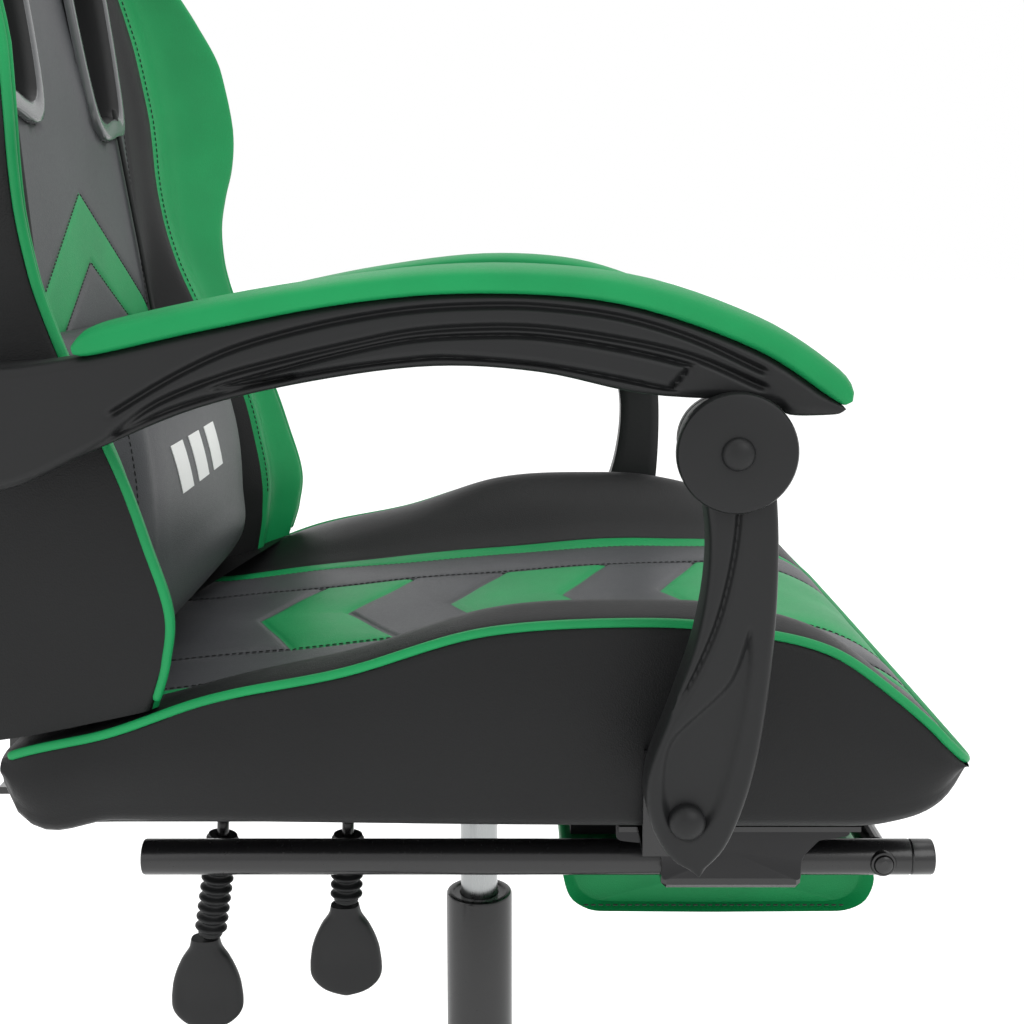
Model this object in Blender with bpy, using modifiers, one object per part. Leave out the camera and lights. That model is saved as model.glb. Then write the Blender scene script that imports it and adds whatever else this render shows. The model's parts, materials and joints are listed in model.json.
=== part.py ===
"""Reclining gaming chair with linked armrests, a gas lift on five casters and a pull-out footrest.

Metres, +Z up, the sitter faces +X and the sitter's left is +Y. The floor is Z = 0.
The base and casters are written from the floor up. Everything that the gas lift carries is written
in the seat's own frame, which stands SEAT_RISE above the floor. The Z axis is the lift column's axis,
and the root empty moves the whole chair so that the middle of its box stands on the origin.
"""

import math

import bmesh
import bpy
from mathutils import Matrix, Vector

# ---- driving dimensions ----------------------------------------------------------------
COLUMN_X = 0.0393  # the column stands this far ahead of the middle of the chair's box
SEAT_RISE = 0.090  # floor of the seat's own frame, with the lift at its highest
GAP = 0.0003  # between pieces that touch
SIDES = (("left", 1), ("right", -1))

LEG_COUNT = 5
STEM_RADIUS_FROM_COLUMN = 0.300
WHEEL_R = 0.0275
WHEEL_FACETS = 18
CASTER_TRAIL = 0.016
CASTER_YAWS = (270, 35, 120, 285, 330)  # degrees, one per caster
SOCKET_BOTTOM_Z = 0.0645
STEM_R = 0.0055

TUBE_R = 0.025
TUBE_TOP_Z = 0.342
TUBE_WALL = 0.0020
TUBE_BOTTOM_Z = 0.068
CYLINDER_R = 0.014
CYLINDER_BOTTOM_Z = 0.175
CYLINDER_TOP_Z = 0.380

SEAT_BOTTOM_Z = 0.4125
BOARD_BOTTOM_Z = 0.4000
BOARD_TOP_Z = SEAT_BOTTOM_Z - GAP
BRACKET_THICK = 0.0032

RECLINE_AXIS = (-0.282, 0.448)  # X and Z of the pivot behind the seat
ARM_REAR_AXIS = (-0.262, 0.645)  # pivot on the side of the backrest
SUPPORT_AXIS = (0.117, 0.439)  # lower pivot of the arm support, on the seat
DISC_AXIS = (0.137, 0.636)  # upper pivot, under the front of the arm

ARM_Y = (0.270, 0.3235)
PAD_Y = (0.264, 0.3265)
EAR_Y = (0.272, 0.2985)
BLADE_Y = (0.3000, 0.3250)
DISC_Y = (0.3258, 0.3360)
DISC_R = 0.029

RAIL_Y = 0.200
RAIL_Z = 0.366
RAIL_R = 0.011
RAIL_X = (-0.202, 0.284)
FOOTREST_AXIS_X = 0.2515
FOOTREST_HALF_WIDTH = 0.185
AXLE_R = 0.008

SLOT_TILT = math.atan(0.15)  # lean of the backrest where the harness slots are

COLOURS = {
    "black_leather": ((0.030, 0.031, 0.032), 0.45, 0.0),
    "green_leather": ((0.018, 0.290, 0.082), 0.45, 0.0),
    "grey_leather": ((0.085, 0.087, 0.095), 0.45, 0.0),
    "black_plastic": ((0.028, 0.029, 0.030), 0.55, 0.0),
    "gloss_plastic": ((0.020, 0.021, 0.023), 0.15, 0.0),
    "black_steel": ((0.012, 0.012, 0.013), 0.25, 0.6),
    "silver_steel": ((0.560, 0.570, 0.570), 0.25, 1.0),
    "plywood": ((0.020, 0.020, 0.021), 0.70, 0.0),
    "tyre": ((0.025, 0.025, 0.026), 0.60, 0.0),
}

for leftover in list(bpy.data.objects):
    bpy.data.objects.remove(leftover, do_unlink=True)
PARTS = bpy.data.collections.new("gaming_chair")
CUTTERS = bpy.data.collections.new("cutters")
for collection in (PARTS, CUTTERS):
    bpy.context.scene.collection.children.link(collection)


# ---- shape helpers ---------------------------------------------------------------------
def material_of(key):
    """The Principled material of this finish, made once."""
    made = bpy.data.materials.get(key)
    if made:
        return made
    colour, roughness, metallic = COLOURS[key]
    made = bpy.data.materials.new(key)
    made.use_nodes = True
    shader = made.node_tree.nodes["Principled BSDF"]
    shader.inputs["Base Color"].default_value = (*colour, 1.0)
    shader.inputs["Roughness"].default_value = roughness
    shader.inputs["Metallic"].default_value = metallic
    return made


def object_of(name, bm):
    """A new object from a bmesh, its faces pointing out."""
    bmesh.ops.recalc_face_normals(bm, faces=bm.faces[:])
    if bm.faces and bm.calc_volume(signed=True) < 0:
        bmesh.ops.reverse_faces(bm, faces=bm.faces[:])
    mesh = bpy.data.meshes.new(name)
    bm.to_mesh(mesh)
    bm.free()
    piece = bpy.data.objects.new(name, mesh)
    PARTS.objects.link(piece)
    return piece


def bake(piece):
    """Applies the piece's modifiers to its mesh."""
    graph = bpy.context.evaluated_depsgraph_get()
    mesh = bpy.data.meshes.new_from_object(piece.evaluated_get(graph))
    piece.modifiers.clear()
    piece.data = mesh
    return piece


def combine(piece, other, operation):
    """One Boolean of the two pieces, applied. The other piece is used up."""
    CUTTERS.objects.link(other)
    PARTS.objects.unlink(other)
    step = piece.modifiers.new(operation.lower(), "BOOLEAN")
    step.operation = operation
    step.object = other
    bake(piece)
    bpy.data.objects.remove(other, do_unlink=True)
    return piece


def union(piece, other):
    return combine(piece, other, "UNION")


def cut(piece, other):
    return combine(piece, other, "DIFFERENCE")


def rounded(piece, width, segments=1, angle=35):
    """Bevels the edges sharper than the angle, and applies it."""
    step = piece.modifiers.new("rounding", "BEVEL")
    step.width = width
    step.segments = segments
    step.limit_method = "ANGLE"
    step.angle_limit = math.radians(angle)
    return bake(piece)


def block(name, low, high):
    """A box between two corners, given in any order."""
    ends = [sorted(pair) for pair in zip(low, high)]
    middle = [sum(pair) / 2 for pair in ends]
    size = [pair[1] - pair[0] for pair in ends]
    bm = bmesh.new()
    bmesh.ops.create_cube(bm, size=1, matrix=Matrix.Translation(middle) @ Matrix.Diagonal((*size, 1)))
    return object_of(name, bm)


def rod(name, start, end, radius, segments=14):
    """A round bar from start to end."""
    start, end = Vector(start), Vector(end)
    turn = (end - start).to_track_quat("Z", "Y").to_matrix().to_4x4()
    bm = bmesh.new()
    bmesh.ops.create_cone(
        bm,
        cap_ends=True,
        segments=segments,
        radius1=radius,
        radius2=radius,
        depth=(end - start).length,
        matrix=Matrix.Translation((start + end) / 2) @ turn,
    )
    return object_of(name, bm)


def turned(name, profile, place=None, steps=18, closed=False):
    """A turned piece: (radius, height) points from top to bottom, spun about the axis.

    An open profile starts and ends on the axis. A closed one makes a ring.
    """
    bm = bmesh.new()
    points = [bm.verts.new((radius, 0, height)) for radius, height in profile]
    for first, second in zip(points, points[1:]):
        bm.edges.new((first, second))
    if closed:
        bm.edges.new((points[-1], points[0]))
    piece = object_of(name, bm)
    step = piece.modifiers.new("spin", "SCREW")
    step.steps = steps
    step.render_steps = steps
    step.use_merge_vertices = True
    step.merge_threshold = 0.00005
    bake(piece)
    bm = bmesh.new()
    bm.from_mesh(piece.data)
    bmesh.ops.remove_doubles(bm, verts=bm.verts[:], dist=0.00002)
    bmesh.ops.transform(bm, matrix=place or Matrix(), verts=bm.verts[:])
    bpy.data.objects.remove(piece, do_unlink=True)
    return object_of(name, bm)


def along_y(x, y, z, side):
    """Places a turned piece with its axis on Y, its top facing the given side."""
    return Matrix.Translation((x, y, z)) @ Matrix.Rotation(-side * math.pi / 2, 4, "X")


def curve_mesh(name, data, place):
    """A mesh object from curve data, its caps welded."""
    guide = bpy.data.objects.new(name, data)
    PARTS.objects.link(guide)
    graph = bpy.context.evaluated_depsgraph_get()
    mesh = bpy.data.meshes.new_from_object(guide.evaluated_get(graph))
    bpy.data.objects.remove(guide, do_unlink=True)
    bm = bmesh.new()
    bm.from_mesh(mesh)
    bmesh.ops.remove_doubles(bm, verts=bm.verts[:], dist=0.00002)
    bmesh.ops.transform(bm, matrix=place, verts=bm.verts[:])
    return object_of(name, bm)


UPRIGHT = Matrix.Rotation(math.pi / 2, 4, "X")


def plate(name, outline, y_ends, smooth=True, resolution=2, place=None):
    """An outline in X and Z, as thick as the two Y values are apart."""
    data = bpy.data.curves.new(name, "CURVE")
    data.dimensions = "2D"
    data.fill_mode = "BOTH"
    data.extrude = abs(y_ends[1] - y_ends[0]) / 2
    data.resolution_u = resolution
    spline = data.splines.new("BEZIER" if smooth else "POLY")
    points = spline.bezier_points if smooth else spline.points
    points.add(len(outline) - 1)
    for point, (x, z) in zip(points, outline):
        if smooth:
            point.co = (x, z, 0)
            point.handle_left_type = point.handle_right_type = "AUTO"
        else:
            point.co = (x, z, 0, 1)
    spline.use_cyclic_u = True
    if place is None:
        place = Matrix.Translation((0, sum(y_ends) / 2, 0)) @ UPRIGHT
    return curve_mesh(name, data, place)


def bent_rod(name, route, radius):
    """A round bar along a route of points."""
    data = bpy.data.curves.new(name, "CURVE")
    data.dimensions = "3D"
    data.bevel_depth = radius
    data.bevel_resolution = 2
    data.use_fill_caps = True
    spline = data.splines.new("POLY")
    spline.points.add(len(route) - 1)
    for point, place in zip(spline.points, route):
        point.co = (*place, 1)
    return curve_mesh(name, data, Matrix())


def loft(name, sections):
    """Skins a row of rings with equal point counts, and caps both ends."""
    bm = bmesh.new()
    rings = [[bm.verts.new(point) for point in section] for section in sections]
    for ring, following in zip(rings, rings[1:]):
        for i in range(len(ring)):
            j = (i + 1) % len(ring)
            bm.faces.new((ring[i], ring[j], following[j], following[i]))
    caps = [bm.faces.new(rings[0]), bm.faces.new(rings[-1])]
    bmesh.ops.triangulate(bm, faces=caps)
    return object_of(name, bm)


def both_halves(half):
    """A ring from its +Y half, whose first and last points lie on the middle plane."""
    return half + [(x, -y, z) for x, y, z in reversed(half[1:-1])]


def pivot(name, x, y, z, parent=None, yaw=0.0):
    """An empty on a joint's axis. Its chair-frame place is kept for what hangs on it."""
    empty = bpy.data.objects.new(name, None)
    PARTS.objects.link(empty)
    held = Vector(parent["place"]) if parent else Vector((0, 0, 0))
    empty["place"] = (x, y, z)
    empty.parent = parent
    empty.location = Vector((x, y, z)) - held
    empty.rotation_euler = (0, 0, yaw)
    return empty


def hang(piece, empty, finish, local=False):
    """Gives a piece its finish and its body. A local piece is drawn about its own pivot."""
    piece.parent = empty
    if not local:
        piece.location = -Vector(empty["place"])
    piece.data.materials.clear()
    piece.data.materials.append(material_of(finish))
    piece.data.shade_smooth()
    piece.data.set_sharp_from_angle(angle=math.radians(35))
    return piece


# ---- base and casters ------------------------------------------------------------------
def leg_ring(distance, half_width, bottom, top):
    """An eight-sided section of a leg that runs along X."""
    chamfer = half_width * 0.35
    ys = (half_width - chamfer, half_width, half_width, half_width - chamfer)
    zs = (bottom, bottom + chamfer * 0.6, top - chamfer, top)
    right = list(zip(ys, zs))
    left = [(-y, z) for y, z in reversed(right)]
    return [(distance, y, z) for y, z in right + left]


def star_base():
    """Five tapered legs round a hub, with a socket for a caster stem at each leg's end."""
    base = turned(
        "star_base",
        [(0, 0.140), (0.033, 0.140), (0.037, 0.134), (0.042, 0.070), (0.036, 0.066), (0, 0.066)],
    )
    for number in range(LEG_COUNT):
        turn = Matrix.Rotation(math.pi / 2 + number * math.tau / LEG_COUNT, 4, "Z")
        leg = loft(
            "leg",
            [
                leg_ring(0.020, 0.027, 0.072, 0.134),
                leg_ring(0.110, 0.023, 0.069, 0.117),
                leg_ring(0.220, 0.019, 0.067, 0.100),
                leg_ring(0.302, 0.015, 0.066, 0.090),
            ],
        )
        end = Vector((STEM_RADIUS_FROM_COLUMN, 0, 0))
        union(leg, rod("socket", end + Vector((0, 0, SOCKET_BOTTOM_Z)), end + Vector((0, 0, 0.093)), 0.0165))
        cut(leg, rod("stem_hole", end + Vector((0, 0, 0.050)), end + Vector((0, 0, 0.086)), STEM_R + 0.0004, 16))
        leg.data.transform(turn)
        union(base, leg)
    return cut(base, rod("hub_bore", (0, 0, 0.05), (0, 0, 0.16), TUBE_R + GAP, 32))


def caster_hood():
    """The swivelling hood of a twin-wheel caster: centre web, cover and stem. Its stem is on Z."""
    radius, half_cover = WHEEL_R + 0.0055, 0.0262
    centre = (CASTER_TRAIL, WHEEL_R)
    arc = [math.radians(a) for a in range(15, 166, 15)]
    web = radius - 0.0012
    web_outline = [(centre[0] + web * math.cos(a), centre[1] + web * math.sin(a)) for a in arc]
    foot = [math.radians(a) for a in (200, 235, 270, 305, 340)]
    web_outline += [(centre[0] + 0.009 * math.cos(a), centre[1] + 0.009 * math.sin(a)) for a in foot]
    hood = plate("hood", web_outline, (-0.0050, 0.0050), smooth=False)
    inner = radius - 0.0025
    cover_outline = [(centre[0] + radius * math.cos(a), centre[1] + radius * math.sin(a)) for a in arc]
    cover_outline += [(centre[0] + inner * math.cos(a), centre[1] + inner * math.sin(a)) for a in reversed(arc)]
    union(hood, plate("cover", cover_outline, (-half_cover, half_cover), smooth=False))
    union(hood, rod("neck", (0, 0, 0.0562), (0, 0, SOCKET_BOTTOM_Z - GAP), 0.011))
    union(hood, rod("stem", (0, 0, 0.058), (0, 0, 0.085), STEM_R, 16))
    return cut(hood, rod("axle_hole", (centre[0], -0.02, centre[1]), (centre[0], 0.02, centre[1]), 0.0044, 16))


def caster_wheels():
    """Two wheels and their axle as one turned piece, a facet of each flat on the floor."""
    half, inner = 0.0250, 0.0062
    rim = WHEEL_R / math.cos(math.pi / WHEEL_FACETS)
    side = [(0, half - 0.005), (0.017, half - 0.005), (0.020, half), (rim - 0.003, half)]
    side += [(rim, half - 0.003), (rim, inner + 0.002), (rim - 0.002, inner), (0.0040, inner)]
    profile = side + [(radius, -height) for radius, height in reversed(side)]
    place = Matrix.Translation((CASTER_TRAIL, 0, WHEEL_R)) @ Matrix.Rotation(math.pi / 2, 4, "X")
    spin = Matrix.Rotation(math.pi / 2 + math.pi / WHEEL_FACETS, 4, "Z")
    return turned("wheels", profile, place @ spin, WHEEL_FACETS)


def build_base(root):
    """The root body with its column, and the five casters."""
    floor = pivot("floor", 0, 0, -SEAT_RISE, root)
    hang(star_base(), floor, "black_plastic", local=True)
    wall = TUBE_R - TUBE_WALL
    tube = [(TUBE_R - 0.0008, TUBE_TOP_Z), (TUBE_R, TUBE_TOP_Z - 0.0008), (TUBE_R, TUBE_BOTTOM_Z)]
    tube += [(0.0066, TUBE_BOTTOM_Z), (0.0066, TUBE_BOTTOM_Z + 0.006), (wall, TUBE_BOTTOM_Z + 0.006)]
    tube += [(wall, TUBE_TOP_Z)]
    hang(turned("column_tube", tube, steps=24, closed=True), floor, "black_steel", local=True)
    outer, inner = wall - GAP, CYLINDER_R + GAP
    bushing = [(outer, TUBE_TOP_Z - 0.001), (outer, 0.270), (inner, 0.270), (inner, TUBE_TOP_Z - 0.001)]
    hang(turned("column_bushing", bushing, steps=24, closed=True), floor, "black_plastic", local=True)
    low = TUBE_BOTTOM_Z + 0.006 + GAP
    race = [(0.018, low + 0.005), (0.018, low), (0.0068, low), (0.0068, low + 0.005)]
    hang(turned("thrust_bearing", race, closed=True), floor, "silver_steel", local=True)
    clip = [(0.011, TUBE_BOTTOM_Z - GAP), (0.011, 0.0655), (0.0066, 0.0655), (0.0066, TUBE_BOTTOM_Z - GAP)]
    hang(turned("rod_clip", clip, closed=True), floor, "silver_steel", local=True)

    hood_mesh = caster_hood()
    wheel_mesh = caster_wheels()
    for number in range(1, LEG_COUNT + 1):
        angle = math.pi / 2 + (number - 1) * math.tau / LEG_COUNT
        x = STEM_RADIUS_FROM_COLUMN * math.cos(angle)
        y = STEM_RADIUS_FROM_COLUMN * math.sin(angle)
        swivel = pivot(f"swivel_{number}", x, y, -SEAT_RISE, floor, math.radians(CASTER_YAWS[number - 1]))
        for name, shape, finish in (
            (f"caster_hood_{number}", hood_mesh, "black_plastic"),
            (f"caster_wheels_{number}", wheel_mesh, "tyre"),
        ):
            copy = bpy.data.objects.new(name, shape.data)
            PARTS.objects.link(copy)
            hang(copy, swivel, finish, local=True)
    for shape in (hood_mesh, wheel_mesh):
        bpy.data.objects.remove(shape, do_unlink=True)


# ---- lift column and seat mechanism ----------------------------------------------------
def build_lift(root):
    """The piston rod turns on its bearing, and the cylinder slides on it with the seat."""
    swivel = pivot("swivel", 0, 0, -SEAT_RISE, root)
    shoulder = TUBE_BOTTOM_Z + 0.0062 + 0.0055
    profile = [(0, 0.368), (0.0040, 0.368), (0.0050, 0.367), (0.0050, shoulder + 0.004)]
    profile += [(0.012, shoulder + 0.004), (0.012, shoulder), (0.0062, shoulder), (0.0062, 0.0640), (0, 0.0640)]
    hang(turned("piston_rod", profile, steps=16), swivel, "silver_steel", local=True)
    seat = pivot("seat", 0, 0, 0.38, swivel)
    cylinder = [(0, CYLINDER_TOP_Z), (0.0125, CYLINDER_TOP_Z), (0.013, 0.350), (CYLINDER_R, 0.325)]
    cylinder += [(CYLINDER_R, CYLINDER_BOTTOM_Z), (0, CYLINDER_BOTTOM_Z)]
    body = turned("gas_cylinder", cylinder, steps=16)
    cut(body, rod("rod_bore", (0, 0, 0.16), (0, 0, 0.362), 0.0056, 16))
    cut(body, rod("valve_bore", (0, 0, 0.366), (0, 0, 0.39), 0.0046, 16))
    hang(body, seat, "silver_steel")
    button = pivot("release", 0, 0, CYLINDER_TOP_Z, seat)
    pin = [(0, 0.3850), (0.0030, 0.3850), (0.0042, 0.3842), (0.0042, 0.3712), (0, 0.3712)]
    hang(turned("release_pin", pin, steps=16), button, "silver_steel")
    return seat


def mechanism(seat):
    """Pressed-steel box with a mounting flange, which takes the cylinder and both levers."""
    box = block("mechanism", (-0.190, -0.045, 0.342), (0.045, 0.045, 0.394))
    rounded(box, 0.006)
    union(box, rounded(block("flange", (-0.200, -0.110, 0.3935), (0.070, 0.110, BOARD_BOTTOM_Z - GAP)), 0.001))
    cut(box, rod("taper", (0, 0, 0.33), (0, 0, 0.3872), 0.0146, 28))
    for x in LEVERS.values():
        cut(box, block("lever_slot", (x["axis_x"] - 0.006, -0.06, 0.374), (x["axis_x"] + 0.006, -0.026, 0.3900)))
    hang(box, seat, "black_steel")


LEVERS = {
    "height": {"axis_x": -0.080, "low_x": -0.083, "paddle_top": 0.318, "paddle_bottom": 0.256},
    "tilt": {"axis_x": -0.160, "low_x": -0.174, "paddle_top": 0.295, "paddle_bottom": 0.232},
}
LEVER_Z = 0.382
LEVER_Y = -0.165


def lever(kind, seat):
    """One hand lever: a bent rod, a ribbed boot over it, and a flat paddle at its end."""
    size = LEVERS[kind]
    hinge = pivot(f"{kind}_hinge", size["axis_x"], -0.040, LEVER_Z, seat)
    bend = 0.016
    x, top, bottom = size["axis_x"], size["paddle_top"], size["paddle_bottom"]
    route = [(x, -0.032, LEVER_Z), (x, LEVER_Y + bend, LEVER_Z)]
    for step in range(1, 6):
        angle = math.radians(18 * step)
        route.append((x, LEVER_Y + bend - bend * math.sin(angle), LEVER_Z - bend + bend * math.cos(angle)))
    elbow = Vector(route[-1])
    tip = Vector((size["low_x"], LEVER_Y, top - 0.018))
    route.append(tuple(tip))
    hang(bent_rod(f"{kind}_lever", route, 0.0038), hinge, "black_steel")

    down = (tip - elbow).normalized()
    turn = (-down).to_track_quat("Z", "Y").to_matrix().to_4x4()
    reach = (elbow.z - top) / -down.z
    ribs = max(3, round(reach / 0.0072))
    profile = [(0.0085, 0.0)]
    for rib in range(ribs):
        high = -reach * rib / ribs
        profile += [(0.0070, high - 0.0012), (0.0095, high - 0.5 * reach / ribs)]
    end = 0.0022 - reach
    profile += [(0.0070, end + 0.0009), (0.0068, end), (0.0044, end), (0.0044, 0.0)]
    boot = turned(f"{kind}_boot", profile, Matrix.Translation(elbow) @ turn, 12, closed=True)
    hang(boot, hinge, "black_plastic")

    mid_x, low = size["low_x"], bottom
    outline = [(mid_x, top), (mid_x + 0.0090, top - 0.001), (mid_x + 0.0125, top - 0.012)]
    outline += [(mid_x + 0.0205, top - 0.030), (mid_x + 0.0205, low + 0.016), (mid_x + 0.011, low + 0.002)]
    outline += [(mid_x, low)]
    outline += [(2 * mid_x - px, pz) for px, pz in reversed(outline[1:-1])]
    paddle = rounded(plate("paddle", outline, (LEVER_Y - 0.0075, LEVER_Y + 0.0075)), 0.0032)
    paddle.name = f"{kind}_paddle"
    cut(paddle, rod("socket", tip - down * 0.04, tip + down * 0.003, 0.0042, 16))
    hang(paddle, hinge, "black_plastic")


# ---- seat ------------------------------------------------------------------------------
SEAT_STATIONS = (
    # X, bottom, piping, crest of the bolster, middle, half width
    (-0.262, 0.4250, 0.4500, 0.4520, 0.4515, 0.2550),
    (-0.254, 0.4125, 0.4540, 0.4560, 0.4550, 0.2590),
    (-0.205, 0.4125, 0.4650, 0.4680, 0.4600, 0.2600),
    (-0.150, 0.4125, 0.4830, 0.4865, 0.4660, 0.2600),
    (-0.070, 0.4125, 0.5010, 0.5055, 0.4740, 0.2600),
    (0.010, 0.4125, 0.5240, 0.5290, 0.4810, 0.2600),
    (0.090, 0.4125, 0.5290, 0.5345, 0.4870, 0.2600),
    (0.150, 0.4125, 0.5260, 0.5310, 0.4890, 0.2600),
    (0.205, 0.4125, 0.5120, 0.5160, 0.4870, 0.2600),
    (0.243, 0.4125, 0.4850, 0.4880, 0.4790, 0.2590),
    (0.267, 0.4170, 0.4610, 0.4635, 0.4620, 0.2560),
    (0.282, 0.4300, 0.4420, 0.4440, 0.4435, 0.2480),
)


def seat_section(x, bottom, piping, crest, middle, half):
    side = (bottom + piping) / 2
    half_ring = [
        (x, 0, bottom),
        (x, half - 0.014, bottom),
        (x, half, bottom + 0.006),
        (x, half + 0.0035, side),
        (x, half, piping),
        (x, half - 0.010, (piping + crest) / 2 + 0.001),
        (x, 0.234, crest),
        (x, 0.208, middle + 0.68 * (crest - middle)),
        (x, 0.182, middle + 0.16 * (crest - middle)),
        (x, 0.160, middle),
        (x, 0, middle),
    ]
    return both_halves(half_ring)


def build_seat(seat):
    """Board, cushion, side brackets with the lower arm pivots, and the rear hinge bar."""
    board = block("seat_board", (-0.240, -0.235, BOARD_BOTTOM_Z), (0.240, 0.235, BOARD_TOP_Z))
    hang(rounded(board, 0.002), seat, "plywood")
    hang(loft("seat_cushion", [seat_section(*row) for row in SEAT_STATIONS]), seat, "black_leather")

    x, z = SUPPORT_AXIS
    for name, side in SIDES:
        top = BOARD_BOTTOM_Z - GAP
        low = top - BRACKET_THICK
        bracket = block("bracket", (0.088, side * 0.160, low), (0.231, side * 0.2350, top))
        union(bracket, block("arm", (x - 0.018, side * 0.230, low), (x + 0.018, side * 0.2700, top)))
        union(bracket, rounded(block("sleeve", (0.116, side * 0.1855, 0.3510), (0.201, side * 0.2145, 0.3975)), 0.003))
        union(bracket, block("tab", (x - 0.018, side * 0.2665, low), (x + 0.018, side * 0.2700, z + 0.020)))
        union(bracket, rod("boss", (x, side * 0.2690, z), (x, side * (BLADE_Y[0] - GAP), z), 0.0115))
        cut(bracket, rod("rail_bore", (0.05, side * RAIL_Y, RAIL_Z), (0.25, side * RAIL_Y, RAIL_Z), RAIL_R + 0.0004, 18))
        cut(bracket, rod("bolt_hole", (x, side * 0.25, z), (x, side * 0.33, z), 0.0053, 12))
        bracket.name = f"side_bracket_{name}"
        hang(bracket, seat, "black_steel")
        length = BLADE_Y[1] + GAP - 0.2655
        head = [(0, 0.0070), (0.005, 0.0062), (0.0085, 0.0035), (0.0095, 0), (0.0050, 0), (0.0050, -length), (0, -length)]
        bolt = turned(f"support_bolt_{name}", head, along_y(x, side * (BLADE_Y[1] + GAP), z, side), 14)
        hang(bolt, seat, "black_steel")

    x, z = RECLINE_AXIS
    bar = block("rear_hinge_bar", (-0.300, -0.170, 0.3950), (-0.210, 0.170, BOARD_BOTTOM_Z - GAP))
    for name, side in SIDES:
        ear = plate("ear", ear_outline(x, z), (side * 0.1500, side * 0.1550), smooth=False)
        union(bar, ear)
        cut(bar, rod("pin_hole", (x, side * 0.14, z), (x, side * 0.16, z), 0.0053, 12))
        pin = [(0, 0.0175), (0.0045, 0.0175), (0.0050, 0.0170), (0.0050, 0.0005), (0.0045, 0), (0, 0)]
        hang(turned(f"recline_pin_{name}", pin, along_y(x, side * 0.1465, z, side), 14), seat, "silver_steel")
    hang(bar, seat, "black_steel")


def ear_outline(x, z):
    """A tab with a round top about the recline pin, down to the bar."""
    arc = [math.radians(a) for a in range(0, 181, 20)]
    top = [(x + 0.0130 * math.cos(a), z + 0.0130 * math.sin(a)) for a in arc]
    return top + [(x - 0.0160, 0.397), (x + 0.0160, 0.397)]


# ---- backrest --------------------------------------------------------------------------
def back_middle(z):
    """X of the backrest's front face on the middle plane."""
    if z <= 0.84:
        return -0.243 - 0.118 * (z - 0.48)
    return -0.2855 - 0.19 * (z - 0.84)


BACK_STATIONS = (
    # Z, half width, crest ahead of the middle, seam across the bolster in Y, its share of the crest, thickness
    (0.480, 0.2580, 0.066, 0.205, 0.70, 0.070),
    (0.505, 0.2600, 0.077, 0.205, 0.70, 0.072),
    (0.535, 0.2610, 0.084, 0.205, 0.72, 0.074),
    (0.575, 0.2620, 0.078, 0.205, 0.76, 0.075),
    (0.610, 0.2620, 0.071, 0.205, 0.78, 0.075),
    (0.690, 0.2600, 0.047, 0.193, 0.60, 0.075),
    (0.727, 0.2640, 0.042, 0.194, 0.42, 0.075),
    (0.753, 0.2710, 0.043, 0.197, 0.30, 0.075),
    (0.782, 0.2850, 0.049, 0.200, 0.22, 0.074),
    (0.800, 0.2950, 0.054, 0.202, 0.20, 0.074),
    (0.830, 0.3020, 0.059, 0.205, 0.20, 0.073),
    (0.885, 0.3010, 0.060, 0.207, 0.20, 0.072),
    (0.925, 0.2850, 0.050, 0.203, 0.20, 0.071),
    (0.945, 0.2700, 0.043, 0.198, 0.20, 0.070),
    (1.000, 0.2240, 0.024, 0.168, 0.20, 0.068),
    (1.050, 0.1760, 0.013, 0.134, 0.20, 0.066),
    (1.100, 0.1530, 0.008, 0.118, 0.20, 0.064),
    (1.200, 0.1500, 0.005, 0.114, 0.20, 0.062),
    (1.245, 0.1380, 0.002, 0.102, 0.20, 0.056),
    (1.270, 0.1120, -0.003, 0.080, 0.20, 0.040),
    (1.278, 0.0900, -0.010, 0.066, 0.20, 0.022),
)


def back_section(z, half, ahead, seam, share, thick):
    middle = back_middle(z)
    rear, crest = middle - thick, middle + ahead
    edge = crest - 0.002
    depth = edge - rear
    half_ring = [
        (rear, 0, z),
        (rear, half - 0.045, z),
        (rear + min(0.012, 0.20 * depth), half - 0.008, z),
        (rear + min(0.030, 0.45 * depth), half, z),
        (edge - min(0.012, 0.20 * depth), half, z),
        (edge, half - 0.003, z),
        (crest, half - 0.010, z),
        (middle + ahead * (0.16 + 0.84 * share), seam + 0.55 * (half - 0.010 - seam), z),
        (middle + ahead * share, seam, z),
        (middle + 0.05 * ahead, seam - 0.026, z),
        (middle, seam - 0.044, z),
        (middle, 0, z),
    ]
    return both_halves(half_ring)


def bottom_section():
    """The backrest's underside, which follows the slope of the seat in front of the hinge."""
    ring = back_section(*BACK_STATIONS[0])
    return [(x, y * 0.995, 0.4630 + 0.21 * max(0.0, x + 0.262)) for x, y, _ in ring]


SLOT_Z = 0.885
SLOT_HOLE = (
    (0.070, -0.050),
    (0.116, -0.055),
    (0.138, -0.040),
    (0.150, 0.042),
    (0.138, 0.058),
    (0.080, 0.064),
    (0.061, 0.050),
)
SLOT_MIDDLE = (0.106, 0.0)


def slot_outline(grow, side):
    """The harness slot's outline, grown outwards from its middle."""
    outline = []
    for y, v in SLOT_HOLE:
        away = Vector((y - SLOT_MIDDLE[0], v - SLOT_MIDDLE[1]))
        away += away.normalized() * grow
        outline.append((side * (SLOT_MIDDLE[0] + away.x), SLOT_MIDDLE[1] + away.y))
    return outline


def slot_prism(name, grow, ahead_low, ahead_high, side):
    """A prism through the backrest, square to its front face at the slots."""
    up = Vector((-math.sin(SLOT_TILT), 0, math.cos(SLOT_TILT)))
    ahead = Vector((math.cos(SLOT_TILT), 0, math.sin(SLOT_TILT)))
    across = Vector((0, 1, 0))
    origin = Vector((back_middle(SLOT_Z), 0, SLOT_Z)) + ahead * (ahead_low + ahead_high) / 2
    place = Matrix((across, up, ahead)).transposed().to_4x4()
    place.translation = origin
    return plate(name, slot_outline(grow, side), (ahead_low, ahead_high), resolution=2, place=place)


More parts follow.
